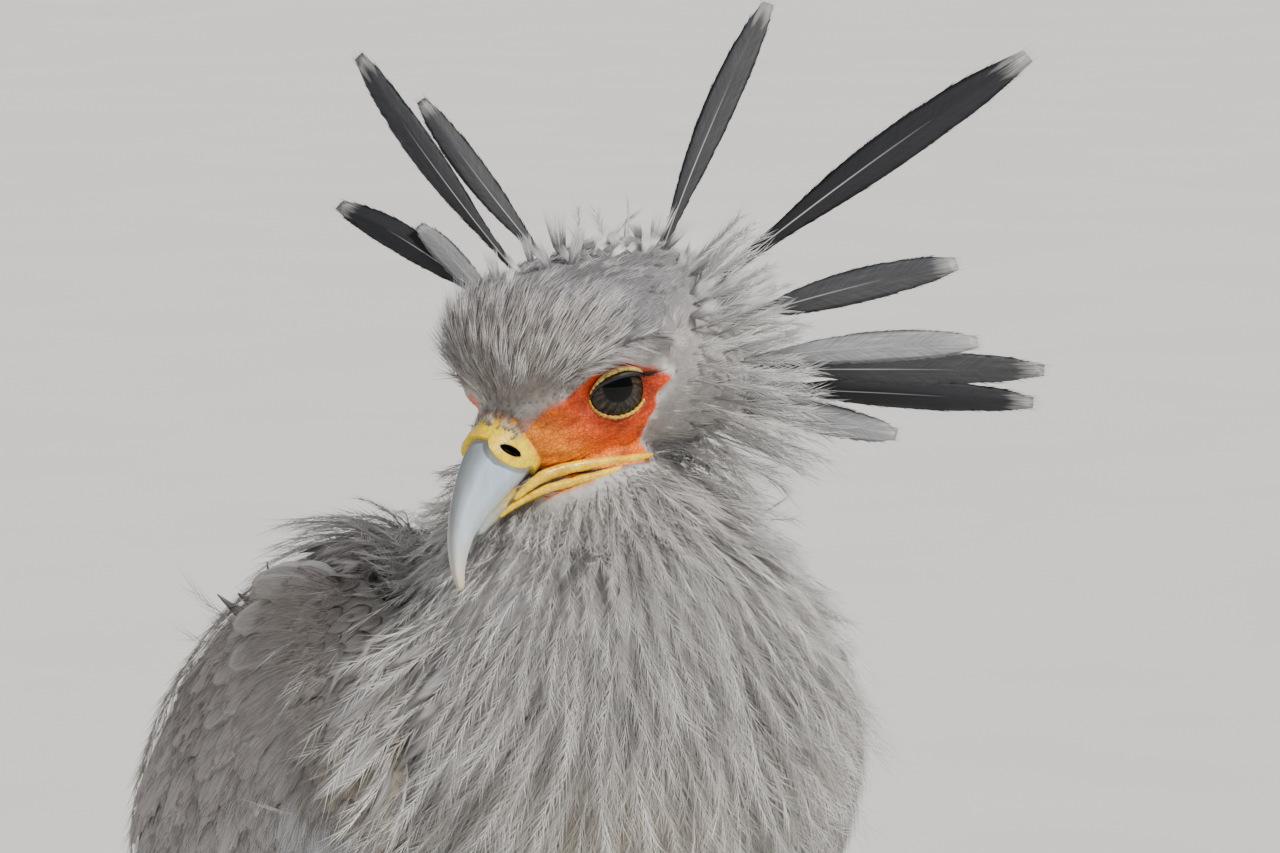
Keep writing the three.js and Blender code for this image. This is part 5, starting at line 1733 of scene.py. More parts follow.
def make_thigh_coat(skin, side, name, sizes, ground):
    """The black feather trousers of the upper leg."""
    spine = thigh_spine(side)

    def wanted(points, normals):
        t = spine.nearest(points, 80)
        apart = np.linalg.norm(points - spine.line.at(t), axis=1)
        return (points[:, 0] * side > 0) & (apart < 57) & (points[:, 2] < 668) & (points[:, 2] > 330)

    roots, normals = scattered(skin, sizes.thigh_spacing * 1000, wanted, 91 + side)
    coat = Coat(93 + side)
    random = coat.random
    n = len(roots)
    lie = tangent(spine.line.along(spine.nearest(roots)), normals)
    low = step(430 - roots[:, 2], 0, 90)
    length = (42 - 20 * low) * random.uniform(0.8, 1.15, n)
    lie = unit(lie + random.normal(size=lie.shape) * 0.1)
    turn = ground.turn(roots, lie, length)
    lie, face = lifted(lie, normals, 9 + random.normal(size=n) * 3)
    tint = varied(np.repeat(INK["black"][None], n, 0), random, 0.2)
    spot = spine_map(spine, roots)
    # The blades under the loose feathers are painted darker (tint times 0.8), as shade beneath them.
    coat.lay([blade(random) for _ in range(6)], roots - normals * 1.5, lie, face, length * 0.8, length * 0.3,
             tint * 0.8, spot, bend=-turn, thick=0.4)
    coat.lay([loose_feather(random, 12, 0.3) for _ in range(6)], roots - normals, lie, face, length, length * 0.2, tint,
             spot, bend=-turn - 0.1, sweep=random.normal(size=n) * 0.15, thick=0.24)
    return coat.build(name)


def grid_spots(count, columns=12):
    """Separate places on the map for large vanes, each with room of its own."""
    i = np.arange(count)
    rows = math.ceil(count / columns)
    return np.stack([(i % columns + 0.5) / columns, (i // columns + 0.5) / rows], -1), 0.9 / max(columns, rows)


def make_crest():
    """The long black quills of the crest, each with free barbs at its edges and square tip."""
    rows = np.array(CREST, float)
    azimuth, rise = np.radians(rows[:, 3]), np.radians(rows[:, 4])
    along = np.stack([np.sin(azimuth) * np.cos(rise), np.cos(azimuth) * np.cos(rise), np.sin(rise)], -1)
    face = unit(VIEW_OUT - along * (along @ VIEW_OUT)[:, None])
    side = np.cross(face, along)
    # A bowed feather still ends where a straight one would
    bow, curl = np.array(CREST_SWEEP), 0.1
    along = unit(along - side * bow[:, None] / 2 + face * curl / 2)
    quills = Coat(101)
    random = quills.random
    spots, patch = grid_spots(len(rows), 4)
    tint = varied(np.repeat(linear("#1b1c21")[None], len(rows), 0), random, 0.1)
    tint = blend(tint, linear("#b9babd"), np.array(CREST_PALE))
    for i, row in enumerate(rows):
        outline = ragged(PLUME_FINE, random, 0.03)
        form = fringed(Form().vane(outline, 8, 0.16, 1.0), outline, random, 130, 0.03, 0.45, 34, 0.09)
        quills.lay([form], from_head(row[:3] - along[i] * 3)[None], (along[i] @ HEAD_ROTATION.T)[None],
                   (face[i] @ HEAD_ROTATION.T)[None], row[5:6] + 3, row[6:7] * 1.05, tint[i : i + 1],
                   spots[i : i + 1], bend=-curl, sweep=bow[i], thick=0.28, patch=patch,
                   roll=random.uniform(-0.3, 0.3))
    return quills.build("crest_quills")


def square_tuft(random, barbs=34):
    """A narrow tuft of near-parallel barbs that all end at one level."""
    form = Form()
    form.spike((0, 0, 0), (1, 0, 0), 1.6, 2)
    for i in range(barbs):
        x = (i + 0.5) / barbs * 2 - 1
        start = 0.02 + 0.45 * abs(x) * random.uniform(0.5, 1)
        form.spike((start, x * 0.5, 0), (random.uniform(0.9, 1.05), x * random.uniform(1.0, 1.1),
                                         random.uniform(-0.06, 0.06)), 1.0)
    return form


def make_fringe(ground):
    """Short square-tipped pale feathers that stand up round the roots of the crest."""
    coat = Coat(111)
    random = coat.random
    count = 70
    row = random.integers(0, 5, count)
    turn = np.linspace(-1.2, 1.2, count) + random.normal(size=count) * 0.06
    out = unit(np.stack([
        np.sin(turn), np.cos(turn) * 0.9, 0.45 - 0.14 * row + 0.1 * random.normal(size=count)], -1))
    root = np.stack([
        np.sin(turn) * (36 - row * 1.5), 24 + np.cos(turn) * 18 + row * 1.6, 22 - np.abs(turn) * 9 - row * 6,
    ], -1)
    length, width = random.uniform(12, 20, count), random.uniform(5, 9, count)
    # The broad ones that rise along the crown's outline
    marks = np.array(FRINGE)
    marks = np.vstack([marks, marks * [1, 1, 1, 0.7, 0.6] + [3.5, -2, 4.5, 0, 0], marks * [1, 1, 1, 0.6, 0.6] + [-3.5, -3, -3, 0, 0]])
    stood = ground.seen(marks[:, 0], marks[:, 1])
    way = marks[:, 2:3] * VIEW_RIGHT + (marks[:, 3:4]) * VIEW_UP
    root = np.vstack([root, stood])
    length = np.append(length, np.linalg.norm(way, axis=1) + 3)
    out = np.vstack([out, unit(way + VIEW_OUT * random.normal(size=(len(way), 1)) * 2)])
    width = np.append(width, marks[:, 4])
    count = len(root)
    face = unit(VIEW_OUT - out * (out @ VIEW_OUT)[:, None])
    tint = varied(blend(INK["nape"] * 0.9, INK["white"], random.random(count)), random, 0.08)
    forms = [square_tuft(random) for _ in range(8)]
    coat.lay(forms, from_head(root - out * 3), out @ HEAD_ROTATION.T, face @ HEAD_ROTATION.T, length, width, tint,
             spherical_map(root), bend=-0.12, thick=0.2, sweep=random.normal(size=count) * 0.08,
             roll=random.normal(size=count) * 0.3)
    return coat.build("crest_fringe")


def make_hackles(skin, ground):
    """Pointed plumes of loose strands that stand off the cheeks, the nape and the sides of the neck."""
    def rear(points, normals):
        local = to_head(points)
        across = local * np.where(local[:, :1] < 0, [-1, 1, 1], 1) @ VIEW_RIGHT
        return (across > np.interp(local @ VIEW_UP, [-50, -25, -12], [20, 24, 38])) & (
            points[:, 2] > 812) & (local[:, 2] < 22) & (local[:, 1] > 2) & (bareness(local) < -6)

    def far_cheek(points, normals):
        local = to_head(points)
        out = (normals @ HEAD_ROTATION) @ VIEW_RIGHT
        return (local[:, 0] < -20) & (local @ VIEW_RIGHT < -8) & (local[:, 2] < 2) & (out < -0.45) & (
            local[:, 2] > -30) & (bareness(local) < -0.5)

    coat = Coat(122)
    random = coat.random
    forms = [loose_feather(random, 32, 0.28, first=0.04, last=0.84, shaft=2.2) for _ in range(10)]
    for number, (wanted, spacing) in enumerate(((rear, 4.1), (far_cheek, 3.6))):
        roots, normals = scattered(skin, spacing, wanted, 121 + number)
        local = to_head(roots)
        n = len(roots)
        if number == 0:
            height = np.interp(local @ VIEW_UP, [-60, -36, -12, 6, 30], [-55, -38, -12, 0, 34])[:, None]
            way = VIEW_RIGHT * np.cos(np.radians(height)) + VIEW_UP * np.sin(np.radians(height))
            way = way * np.where(local[:, :1] < 0, [-1, 1, 1], 1)
            up = local @ VIEW_UP
            length = random.uniform(28, 40, n) * (0.8 + 0.35 * step(up, -56, -38) * step(2 - up, 0, 12))
        else:
            way = np.repeat((-VIEW_RIGHT - 0.45 * VIEW_UP)[None], n, 0)
            length = random.uniform(14, 26, n)
        own = normals @ HEAD_ROTATION
        way = unit(way + own * 0.25 + random.normal(size=(n, 3)) * 0.14)
        low = np.clip(0.12 - np.sum(way * own, -1, keepdims=True), 0, 1)
        way = unit(way + own * low)
        face = tangent(own + VIEW_OUT * 0.5, way)
        tint = varied(blend(INK["nape"] * 0.9, INK["white"] * 1.1, random.random(n)), random, 0.08)
        coat.lay(forms, from_head(local - own), way @ HEAD_ROTATION.T, face @ HEAD_ROTATION.T, length,
                 3.2 + length * 0.12, tint, spherical_map(local), bend=-0.15 + random.normal(size=n) * 0.15,
                 sweep=random.normal(size=n) * 0.2, roll=random.normal(size=n) * 0.3, thick=0.17)
    return coat.build("nape_hackles")


PLUME_FINE = tuple(np.interp(np.linspace(0, 1, 34), np.linspace(0, 1, len(PLUME)), PLUME))
TILE_FINE = tuple(np.interp(np.linspace(0, 1, 11), np.linspace(0, 1, len(TILE)), TILE))
QUILL_FINE = tuple(np.interp(np.linspace(0, 1, 40), np.linspace(0, 1, len(QUILL)), QUILL))


def ragged(outline, random, amount=0.06):
    """The same outline with a few splits where the barbs have parted."""
    made = np.array(outline, float)
    for _ in range(3):
        made[random.integers(len(made) // 2, len(made) - 1)] *= 1 - amount * random.uniform(0.5, 2.5)
    return made


def tier(coat, spine, side, forms, count, t, height, length, width, turn, lift, bend, tint, roll=0.18, thick=0.3,
         columns=24, rows=1, sink=2.0):
    """One row of vanes on a wing, each rooted in its skin and turned down from its lie."""
    random = coat.random
    n = count
    share = (np.arange(n) + 0.5) / n
    of = lambda pair: pair[0] + (pair[1] - pair[0]) * share
    at, lie, down, face = spine.seat(of(t) + random.normal(size=n) * 0.004, of(height) + random.normal(size=n) * 0.01,
                                     np.full(n, side))
    angle = np.radians(of(turn) + random.normal(size=n) * 2)[:, None]
    lie = lie * np.cos(angle) + down * np.sin(angle)
    lie, out = lifted(lie, face, of(lift) + random.normal(size=n) * 1.0)
    size = of(length) * random.uniform(0.94, 1.06, n)
    inked = varied(np.repeat(tint[None], n, 0) if tint.ndim == 1 else tint, random, 0.06)
    spot = np.stack([0.05 + 0.9 * of(t), 0.5 + 0.42 * of(height)], -1)
    coat.lay(forms, at - face * sink, lie, out, size, of(width), inked, spot, bend=of(bend) + random.normal(size=n) * 0.02,
             roll=side * roll + random.normal(size=n) * 0.04, thick=thick, patch=0.02)


def make_wing(side, name):
    """Long dark quills under coverts that are laid like tiles, and scapulars over their roots."""
    spine = wing_spine(side)
    coat = Coat(130 + side)
    random = coat.random
    small = [Form().vane(ragged(TILE_FINE, random), 6, 0.06, 0.4) for _ in range(6)]
    long = [Form().vane(ragged(QUILL_FINE, random, 0.03), 6, 0.14, 1.5) for _ in range(3)]
    taupe, covert, pearl = INK["taupe"], INK["covert"], INK["pearl"]
    tier(coat, spine, side, long, 9, (0.7, 0.9), (0.4, -0.2), (205, 285), (36, 30), (4, -4), (1, 2), (-0.08, -0.06),
         linear("#232226"), thick=0.5)
    tier(coat, spine, side, long, 8, (0.42, 0.84), (0.76, 0.1), (170, 200), (38, 34), (12, 0), (2, 2), (-0.2, -0.1),
         linear("#2b2a2e"), thick=0.45)
    # Rows of coverts, pearly below and taupe towards the back
    rows = 13
    for i in range(rows):
        share = i / (rows - 1)
        top = 0.86 - 1.62 * share
        size = 62 - 22 * math.sin(math.pi * min(1, 0.35 + share * 0.65))
        low = min(1, share * 2.2)
        mixed = blend(pearl, covert, low) if share < 0.45 else blend(covert, taupe, (share - 0.45) / 0.55)
        tier(coat, spine, side, small, 16, (0.12 + 0.02 * (i % 2), 0.86), (top, top * 0.9 - 0.04),
             (size * 0.8, size * 1.8), (20, 30), (36 - 22 * share, 5), (1, 1), (-0.16, -0.12), mixed, roll=0.05,
             thick=0.12)
    # A bloom of fine barbs softens the edges of the tiles
    hairs = [hair_tuft(random, 6, 0.95) for _ in range(6)]
    for i in range(22):
        top = 0.84 - 1.6 * i / 21
        mixed = blend(covert, taupe, i / 21) * 1.05
        tier(coat, spine, side, hairs, 44, (0.08 + 0.01 * (i % 2), 0.8), (top, top * 0.9 - 0.04), (20, 32), (11, 16),
             (36 - i, 5), (5, 5), (-0.15, -0.15), mixed, roll=0.0, thick=0.14, sink=-2.5)
    # Scapulars droop from the back over the upper wing
    for i in range(4):
        tier(coat, spine, side, small, 10, (0.14, 0.44 + 0.08 * i), (-0.93 + 0.13 * i, -0.8 + 0.1 * i), (46, 100),
             (20, 28), (34 - 4 * i, 20 - 3 * i), (-3, 0), (-0.3, -0.24), taupe * 1.04, roll=0.03, thick=0.14,
             sink=3.5)
    return coat.build(name)


def make_wing_down(skin, side, name, sizes, ground):
    """The small coverts of the shoulder, laid like soft shingles, turning to beige down along the breast."""
    def wanted(points, normals):
        mask = (points[:, 0] * side > 24) & (points[:, 2] > 600) & (points[:, 1] < 90)
        gap, t, height = wing_places(points[mask])
        mask[mask] = (gap < 9) & (t < 0.3 + 0.3 * (height < 0.1))
        return mask

    spine = wing_spine(side)
    roots, normals = scattered(skin, sizes.wing_spacing * 1000, wanted, 135 + side)
    gap, t, height = wing_places(roots)
    coat = Coat(137 + side)
    random = coat.random
    n = len(roots)
    lie = unit(spine.surface(t + 0.01, height, side) - spine.surface(t - 0.01, height, side))
    beige = step(height + 1.5 * (0.16 - t), 0.0, 0.5)
    way = tangent(unit(lie * 0.8 + body_flow(roots, normals) * 0.5 + [0, 0, -0.35]) + [[0, 0, -0.8]] * beige[:, None], normals)
    way = unit(way + random.normal(size=way.shape) * 0.05)
    tint = blend(INK["mantle"], INK["cream"], beige * 0.75)
    tint = blend(tint, linear("#8f7f74"), step(ripple(roots, 20, 8), 0.35, 1.2) * 0.35)
    tint = varied(tint, random, 0.05)
    spot = np.stack([0.05 + 0.9 * t, 0.5 + 0.42 * height], -1)
    length = (13 + 20 * t) * random.uniform(0.85, 1.1, n)
    turn = ground.turn(roots, way, length)
    low, face = lifted(way, normals, 1.5 + random.normal(size=n) * 0.7)
    shingle = [Form().vane(ragged((0.3, 0.68, 0.92, 1, 0.96, 0.78, 0.4, 0.08), random), 4, 0.03, 0.3) for _ in range(8)]
    coat.lay(shingle, roots + normals * 0.2, low, face, length, length * 0.62, tint, spot, bend=-turn - 0.1, thick=0.1)
    soft = random.random(n) < 0.85
    high, face = lifted(way, normals, 4 + 5 * beige + random.normal(size=n) * 2)
    coat.lay([hair_tuft(random, 7, 0.95) for _ in range(8)], (roots + normals * 1.5)[soft], high[soft], face[soft],
             length[soft], length[soft] * 0.5, tint[soft] * 1.05, spot[soft], bend=-0.25 - turn[soft],
             sweep=random.normal(size=int(soft.sum())) * 0.2, thick=0.13)
    return coat.build(name)


def make_tail():
    """Five pairs of barred quills under two long central streamers."""
    coat = Coat(141)
    random = coat.random
    drop = math.radians(TAIL_DROP)
    back = np.array([0, math.cos(drop), -math.sin(drop)])
    top = np.array([0, math.sin(drop), math.cos(drop)])
    long = [Form().vane(ragged(QUILL_FINE, random, 0.02), 8, 0.1, 2.0) for _ in range(3)]
    root, along, length, width, bend = [], [], [], [], []
    for pair in range(1, 6):
        for side in (-1, 1):
            spread = math.radians(2.2 * pair) * side
            root.append(TAIL_ROOT + back * 18 + np.array([side * pair * 4, 0, 0]) + top * (3 - pair * 2.6 + side * 1.3))
            along.append(back * math.cos(spread) + [math.sin(spread), 0, 0])
            length.append(350 - pair * 12)
            width.append(48)
            bend.append(-0.06)
    for side, reach in ((-1, 640), (1, 600)):
        spread = math.radians(1.5) * side
        root.append(TAIL_ROOT + back * 14 + np.array([side * 8, 0, 0]) + top * (4 + side * 1.5))
        along.append(back + [math.sin(spread), 0, 0])
        length.append(reach)
        width.append(42)
        bend.append(-0.16)
    n = len(root)
    spots, patch = grid_spots(n, 4)
    tint = varied(np.repeat(INK["tail"][None], n, 0), random, 0.06)
    coat.lay(long, np.array(root), np.array(along), np.repeat(top[None], n, 0), np.array(length, float),
             np.array(width, float), tint, spots, bend=np.array(bend), thick=0.55, patch=patch)
    return coat.build("tail_quills")


def make_tail_coverts():
    """White feathers that cover the quills' roots above and below."""
    coat = Coat(151)
    random = coat.random
    rows, per_row = 11, 12
    t = np.repeat(np.linspace(0.0, 0.93, rows), per_row)
    angle = (np.tile(np.arange(per_row), rows) + 0.5 * (np.repeat(np.arange(rows), per_row) % 2)) / per_row * 2 * np.pi
    side = np.where(np.cos(angle) < 0, -1, 1)
    at, lie, down, face = RUMP.seat(t, np.clip(np.sin(angle), -0.97, 0.97), side)
    lie, out = lifted(lie + random.normal(size=lie.shape) * 0.06, face, 7)
    n = len(at)
    above = step(-np.sin(angle), -0.3, 0.4)
    tint = varied(blend(INK["vent"] * 1.2, INK["white"], above), random, 0.07)
    forms = [loose_feather(random, 30, 0.3) for _ in range(5)]
    leaf = [blade(random) for _ in range(5)]
    coat.lay(leaf, at - face * 2, lie, out, 56, 20, tint, spine_map(RUMP, at), bend=-0.14, thick=0.4)
    coat.lay(forms, at - face * 2, lie, out, random.uniform(50, 72, n), 15, tint, spine_map(RUMP, at), bend=-0.14,
             sweep=random.normal(size=n) * 0.1, thick=0.3)
    return coat.build("tail_coverts")


# Legs


def toe_way(side, degrees):
    angle = math.radians(degrees)
    return np.array([side * math.sin(angle), -math.cos(angle), 0])


def make_leg(side, name):
    """The scaly shank with its joint, and the foot with its toes on their pads."""
    parts = [body_on("shank_form", shank_spine(side), 32, 120, end=0.03, inset=0.3)]
    parts.append(ellipsoid("pad_form", (side * FOOT_HALF_STANCE, FOOT_BACK, 8), (15, 15, 12)))
    for _, degrees, length, half in TOES:
        way = toe_way(side, degrees)
        across = np.array([-way[1], way[0], 0])
        piece = ball("toe_form", 24, 40)
        co = unit(positions(piece))
        t = np.arccos(np.clip(co[:, 2], -1, 1)) / np.pi
        near = np.minimum(np.minimum(t, 1 - t) / 0.14, 1)
        size = (half * 1.15 + (half * 0.78 - half * 1.15) * t) * np.sqrt(np.maximum(0, 1 - (1 - near) ** 2))
        size = size * (1 + 0.08 * np.cos(t * 4 * math.pi))
        flat = unit(co[:, :2] + 1e-9)
        lift = (half * 1.15 + (half * 0.78 - half * 1.15) * t) * 0.78
        points = (
            np.array([side * FOOT_HALF_STANCE, FOOT_BACK, 0]) + way * (t * length)[:, None]
            + across * (flat[:, :1] * size[:, None])
        )
        points[:, 2] += lift + flat[:, 1] * size
        parts.append(place(piece, points))
    leg = fused(name, parts, 1.25, 3)
    points = own_positions(leg)
    points[:, 2] = np.maximum(points[:, 2], 0.0)
    place(leg, points)
    return smooth(leg)


def scute(outline=8, dome=0.35):
    """One raised scale: a low six-sided tile with a rounded top."""
    form = Form()
    for ring, (size, rise) in enumerate(((1.0, -0.4), (0.92, 0.45), (0.5, 0.95))):
        for k in range(outline):
            angle = 2 * math.pi * k / outline
            form.rows.append([0.5 + 0.5 * size * math.cos(angle), size * math.sin(angle), 0, 0, rise])
    top = len(form.rows)
    form.rows.append([0.5, 0, 0, 0, 1.1])
    for ring in range(2):
        for k in range(outline):
            a, b = ring * outline + k, ring * outline + (k + 1) % outline
            form.faces += [(a, a + outline, b + outline), (a, b + outline, b)]
    for k in range(outline):
        form.faces.append((2 * outline + k, top, 2 * outline + (k + 1) % outline))
    form.faces += [(0, k, k + 1) for k in range(1, outline - 1)]
    return form


def make_scutes(side, name):
    """Broad scutes down the front of the shank and along the toes, small scales round the rest."""
    spine = shank_spine(side)
    coat = Coat(160 + side)
    random = coat.random
    scale = [scute()]
    # Front row
    for t0, t1, count, angles, width, length in (
        (0.26, 0.93, 40, (1.57,), 12.5, 8.0),
        (0.1, 0.95, 66, (0.45, 2.69), 5.0, 5.6),
        (0.1, 0.95, 66, (-0.15, 3.29, -0.75, 3.89, -1.35), 4.2, 5.0),
    ):
        for number, angle in enumerate(angles):
            t = t0 + (t1 - t0) * (np.arange(count) + 0.5 * (number % 2)) / count
            at, lie, down, face = spine.seat(t, np.full(count, math.sin(angle)), np.full(count, 1 if math.cos(angle) >= 0 else -1))
            tint = varied(np.repeat(INK["leg"][None], count, 0), random, 0.07)
            coat.lay(scale, at - lie * length / 2 - face * 0.15, lie, face, np.full(count, length),
                     np.full(count, width), tint, spine_map(spine, at), thick=0.55)
    for _, degrees, length, half in TOES:
        way = toe_way(side, degrees)
        across = np.array([-way[1], way[0], 0])
        count = max(6, int(length / 4.4))
        t = 0.12 + 0.78 * np.arange(count) / count
        size = half * 1.15 + (half * 0.78 - half * 1.15) * t
        for lean, wide in ((0.0, 1.5), (0.95, 0.75), (-0.95, 0.75)):
            out = across * math.sin(lean) + np.array([0, 0, math.cos(lean)])
            at = np.array([side * FOOT_HALF_STANCE, FOOT_BACK, 0]) + way * (t * length)[:, None] + out * (size * 0.99)[:, None]
            at[:, 2] += size * 0.78
            n = len(at)
            tint = varied(np.repeat(INK["leg"][None] * 0.92, n, 0), random, 0.07)
            coat.lay(scale, at - way * 2.6, np.repeat(way[None], n, 0), np.repeat(out[None], n, 0), np.full(n, 5.2),
                     size * wide, tint, spine_map(spine, at) * 0.2 + [0.7, 0.02], thick=0.6)
    return coat.build(name)


def make_claws():
    """Blunt curved claws of dark horn."""
    claws = []
    for side in (-1, 1):
        for _, degrees, length, half in TOES:
            way = toe_way(side, degrees)
            across = np.array([-way[1], way[0], 0])
            piece = ball("claw", 20, 24)
            co = unit(positions(piece))
            t = np.arccos(np.clip(co[:, 2], -1, 1)) / np.pi
            size = half * 0.62 * np.sin(np.pi * np.minimum(0.5, t * 2.2)) * (1 - t) ** 0.8 + 0.05
            flat = unit(co[:, :2] + 1e-9)
            points = (
                np.array([side * FOOT_HALF_STANCE, FOOT_BACK, half * 0.8]) + way * (length - 4 + t * CLAW_LENGTH)[:, None]
                + across * (flat[:, :1] * (size * 0.8)[:, None])
            )
            points[:, 2] += 4 * t - 6.2 * t * t + flat[:, 1] * size
            points[:, 2] = np.maximum(points[:, 2], 0.2)
            claws.append(smooth(place(piece, points)))
    return joined("claws", claws)


def leg_finish():
    finish, nodes, shader = new_finish("leg scales", 0.5, specular=0.45)
    made = use_group(nodes, wrinkle_group(), {"Place": place_of(nodes), "Scale": 420.0, "Warp": 0.8})
    # The darker tone falls in mottled patches and, as painted shade, in the creases.
    colour = nodes.mix(nodes.range(made["Mask"], 0.2, 0.6), (*linear("#9d7462"), 1), (*linear("#cda28e"), 1))
    nodes.put(shader.inputs["Base Color"], colour)
    bump(nodes, shader, made["Height"], 0.5, 0.0006)
    return finish


# Settings


class BirdSizes(bpy.types.PropertyGroup):
    coat_depth: FloatProperty(
        name="Coat depth", description="How far the skin of the body lies inside the coat", default=0.006,
        unit="LENGTH", min=0.001, max=0.02)
    head_depth: FloatProperty(
        name="Head coat depth", description="How far the skin of the head lies inside its feathers", default=0.0026,
        unit="LENGTH", min=0.0005, max=0.01)
    head_spacing: FloatProperty(
        name="Head feather spacing", description="Distance between the roots of the head's feathers", default=0.0016,
        unit="LENGTH", min=0.001, max=0.01)
    wing_spacing: FloatProperty(
        name="Small covert spacing", description="Distance between the roots of the wings' small coverts",
        default=0.0046, unit="LENGTH", min=0.001, max=0.01)
    breast_spacing: FloatProperty(
        name="Breast feather spacing", description="Distance between the roots of neck and breast feathers",
        default=0.0032, unit="LENGTH", min=0.002, max=0.02)
    body_spacing: FloatProperty(
        name="Body feather spacing", description="Distance between the roots of belly and back feathers",
        default=0.0075, unit="LENGTH", min=0.002, max=0.02)
    thigh_spacing: FloatProperty(
        name="Thigh feather spacing", description="Distance between the roots of the thighs' feathers",
        default=0.0078, unit="LENGTH", min=0.002, max=0.02)


class BirdStage(bpy.types.PropertyGroup):
    azimuth: FloatProperty(
        name="Camera azimuth", description="Where the camera stands round the bird", default=math.radians(-16),
        subtype="ANGLE")
    elevation: FloatProperty(
        name="Camera elevation", description="How high the camera stands", default=math.radians(6), subtype="ANGLE")
    distance: FloatProperty(
        name="Camera distance", description="From the camera to the head", default=3.0, unit="LENGTH", min=0.5)
    frame_width: FloatProperty(
        name="Frame width", description="Width of the picture at the head", default=0.422, unit="LENGTH", min=0.05)
    aim_right: FloatProperty(
        name="Aim right", description="How far right of the left eye the camera looks", default=0.0114, unit="LENGTH")
    aim_down: FloatProperty(
        name="Aim down", description="How far below the left eye the camera looks", default=0.0136, unit="LENGTH")
    floor_colour: FloatVectorProperty(
        name="Floor colour", description="Colour of the plain floor", default=tuple(linear("#efeeea")),
        subtype="COLOR", min=0, max=1)


# Operators


class BIRD_OT_stage(bpy.types.Operator):
    """Set up the camera, the soft studio light and the pale floor"""

    bl_idname = "bird.stage"
    bl_label = "Stage"

    def execute(self, context):
        stage = context.scene.bird_stage
        a, e = stage.azimuth, stage.elevation
        away = Vector((math.sin(a) * math.cos(e), -math.cos(a) * math.cos(e), math.sin(e)))
        right = Vector((math.cos(a), math.sin(a), 0))
        up = right.cross(-away).normalized()
        eye = Vector((from_head([[EYE_SPREAD, 0, 0]])[0] + SHIFT) / 1000)
        aim = eye + right * stage.aim_right - up * stage.aim_down
        data = bpy.data.cameras.new("camera")
        data.sensor_width = 36
        data.lens = 36 * stage.distance / stage.frame_width
        data.clip_start, data.clip_end = 0.05, 60
        camera = bpy.data.objects.new("camera", data)
        context.scene.collection.objects.link(camera)
        camera.location = aim + away * stage.distance
        camera.rotation_euler = away.to_track_quat("Z", "Y").to_euler()
        context.scene.camera = camera

        def lamp(name, place_at, aim_at, energy, size, colour, kind="AREA"):
            light = bpy.data.lights.new(name, kind)
            light.energy, light.color = energy, colour
            if kind == "SUN":
                light.angle = size
            else:
                light.size = size
            holder = bpy.data.objects.new(name, light)
            context.scene.collection.objects.link(holder)
            holder.location = place_at
            holder.rotation_euler = (Vector(place_at) - Vector(aim_at)).to_track_quat("Z", "Y").to_euler()

        centre = tuple(aim)
        lamp("key", (1.5, -2.3, 3.1), centre, 4.7, math.radians(7), (1.0, 0.97, 0.93), "SUN")
        lamp("fill", (-2.6, -2.2, 1.5), centre, 18, 2.0, (0.92, 0.96, 1.0))
        lamp("rim", (0.4, 2.8, 2.5), centre, 60, 1.4, (1.0, 1.0, 1.0))
        world = bpy.data.worlds.new("studio")
        world.use_nodes = True
        back = world.node_tree.nodes["Background"]
        back.inputs["Color"].default_value = (0.82, 0.84, 0.87, 1)
        back.inputs["Strength"].default_value = 0.36
        context.scene.world = world

        bpy.ops.object.select_all(action="DESELECT")
        bpy.ops.mesh.primitive_grid_add(x_subdivisions=2, y_subdivisions=2, size=90)
        floor = named(context.object, "floor")
        finish, nodes, shader = new_finish("plain floor", 0.85)
        grain = nodes.noise(place_of(nodes), 3.0, 4.0)
        tone = nodes.mix(nodes.range(grain, 0.3, 0.7, 0.0, 0.15), (*stage.floor_colour, 1), (*linear("#c9c6c1"), 1))
        nodes.put(shader.inputs["Base Color"], tone)
        floor.data.materials.append(finish)
        return {"FINISHED"}


class BIRD_OT_skin(bpy.types.Operator):
    """Grow one skin over head, neck, body, wings and thighs, with the bare face"""

    bl_idname = "bird.skin"
    bl_label = "Skin"

    def execute(self, context):
        skin = make_skin(context.scene.bird_sizes)
        finish_piece(skin, skin_finish(), ("head", "neck", "torso"))
        return {"FINISHED"}


class BIRD_OT_eyes(bpy.types.Operator):
    """Set the eyes with their lids and lashes"""

    bl_idname = "bird.eyes"
    bl_label = "Eyes"

    def execute(self, context):
        finish = eye_finish()
        random = np.random.default_rng(23)
        golden, crescent, lashes = [], [], []
        for side, name in ((-1, "right"), (1, "left")):
            finish_piece(make_eye(side, f"eyeball_{name}"), finish, (f"eye_{name}",))
            rim, upper = lid_parts(side)
            golden.append(rim)
            crescent.append(upper)
            lashes += lash_parts(side, random)
        rims = smooth(mesh_piece("lid_rims", golden))
        finish_piece(rims, simple_finish("golden rim", "#8a5a0c", "#d8a620", 0.4, 500.0, 0.3))
        uppers = smooth(mesh_piece("upper_lids", crescent))
        finish_piece(uppers, simple_finish("pale lid", "#c98f2c", "#e9cf74", 0.42, 420.0, 0.2))
        dark = smooth(mesh_piece("lashes", lashes))
        finish_piece(dark, simple_finish("lashes", "#0d0b0b", "#191514", 0.5, 500.0))
        return {"FINISHED"}


class BIRD_OT_bill(bpy.types.Operator):
    """Model the hooked bill, the yellow cere with its nostrils and the lips of the gape"""

    bl_idname = "bird.bill"
    bl_label = "Bill"

    def execute(self, context):
        bill, cere, jaw, lips = make_bill()
        finish_piece(smooth(bill, 40), horn_finish(), ("bill_upper",))
        finish_piece(smooth(cere, 50), cere_finish(), ("cere",))
        finish_piece(smooth(jaw, 40), jaw_finish(), ("bill_lower",))
        finish_piece(smooth(lips), simple_finish("gape lips", "#d09600", "#fcd400", 0.4, 420.0, 0.15))
        return {"FINISHED"}


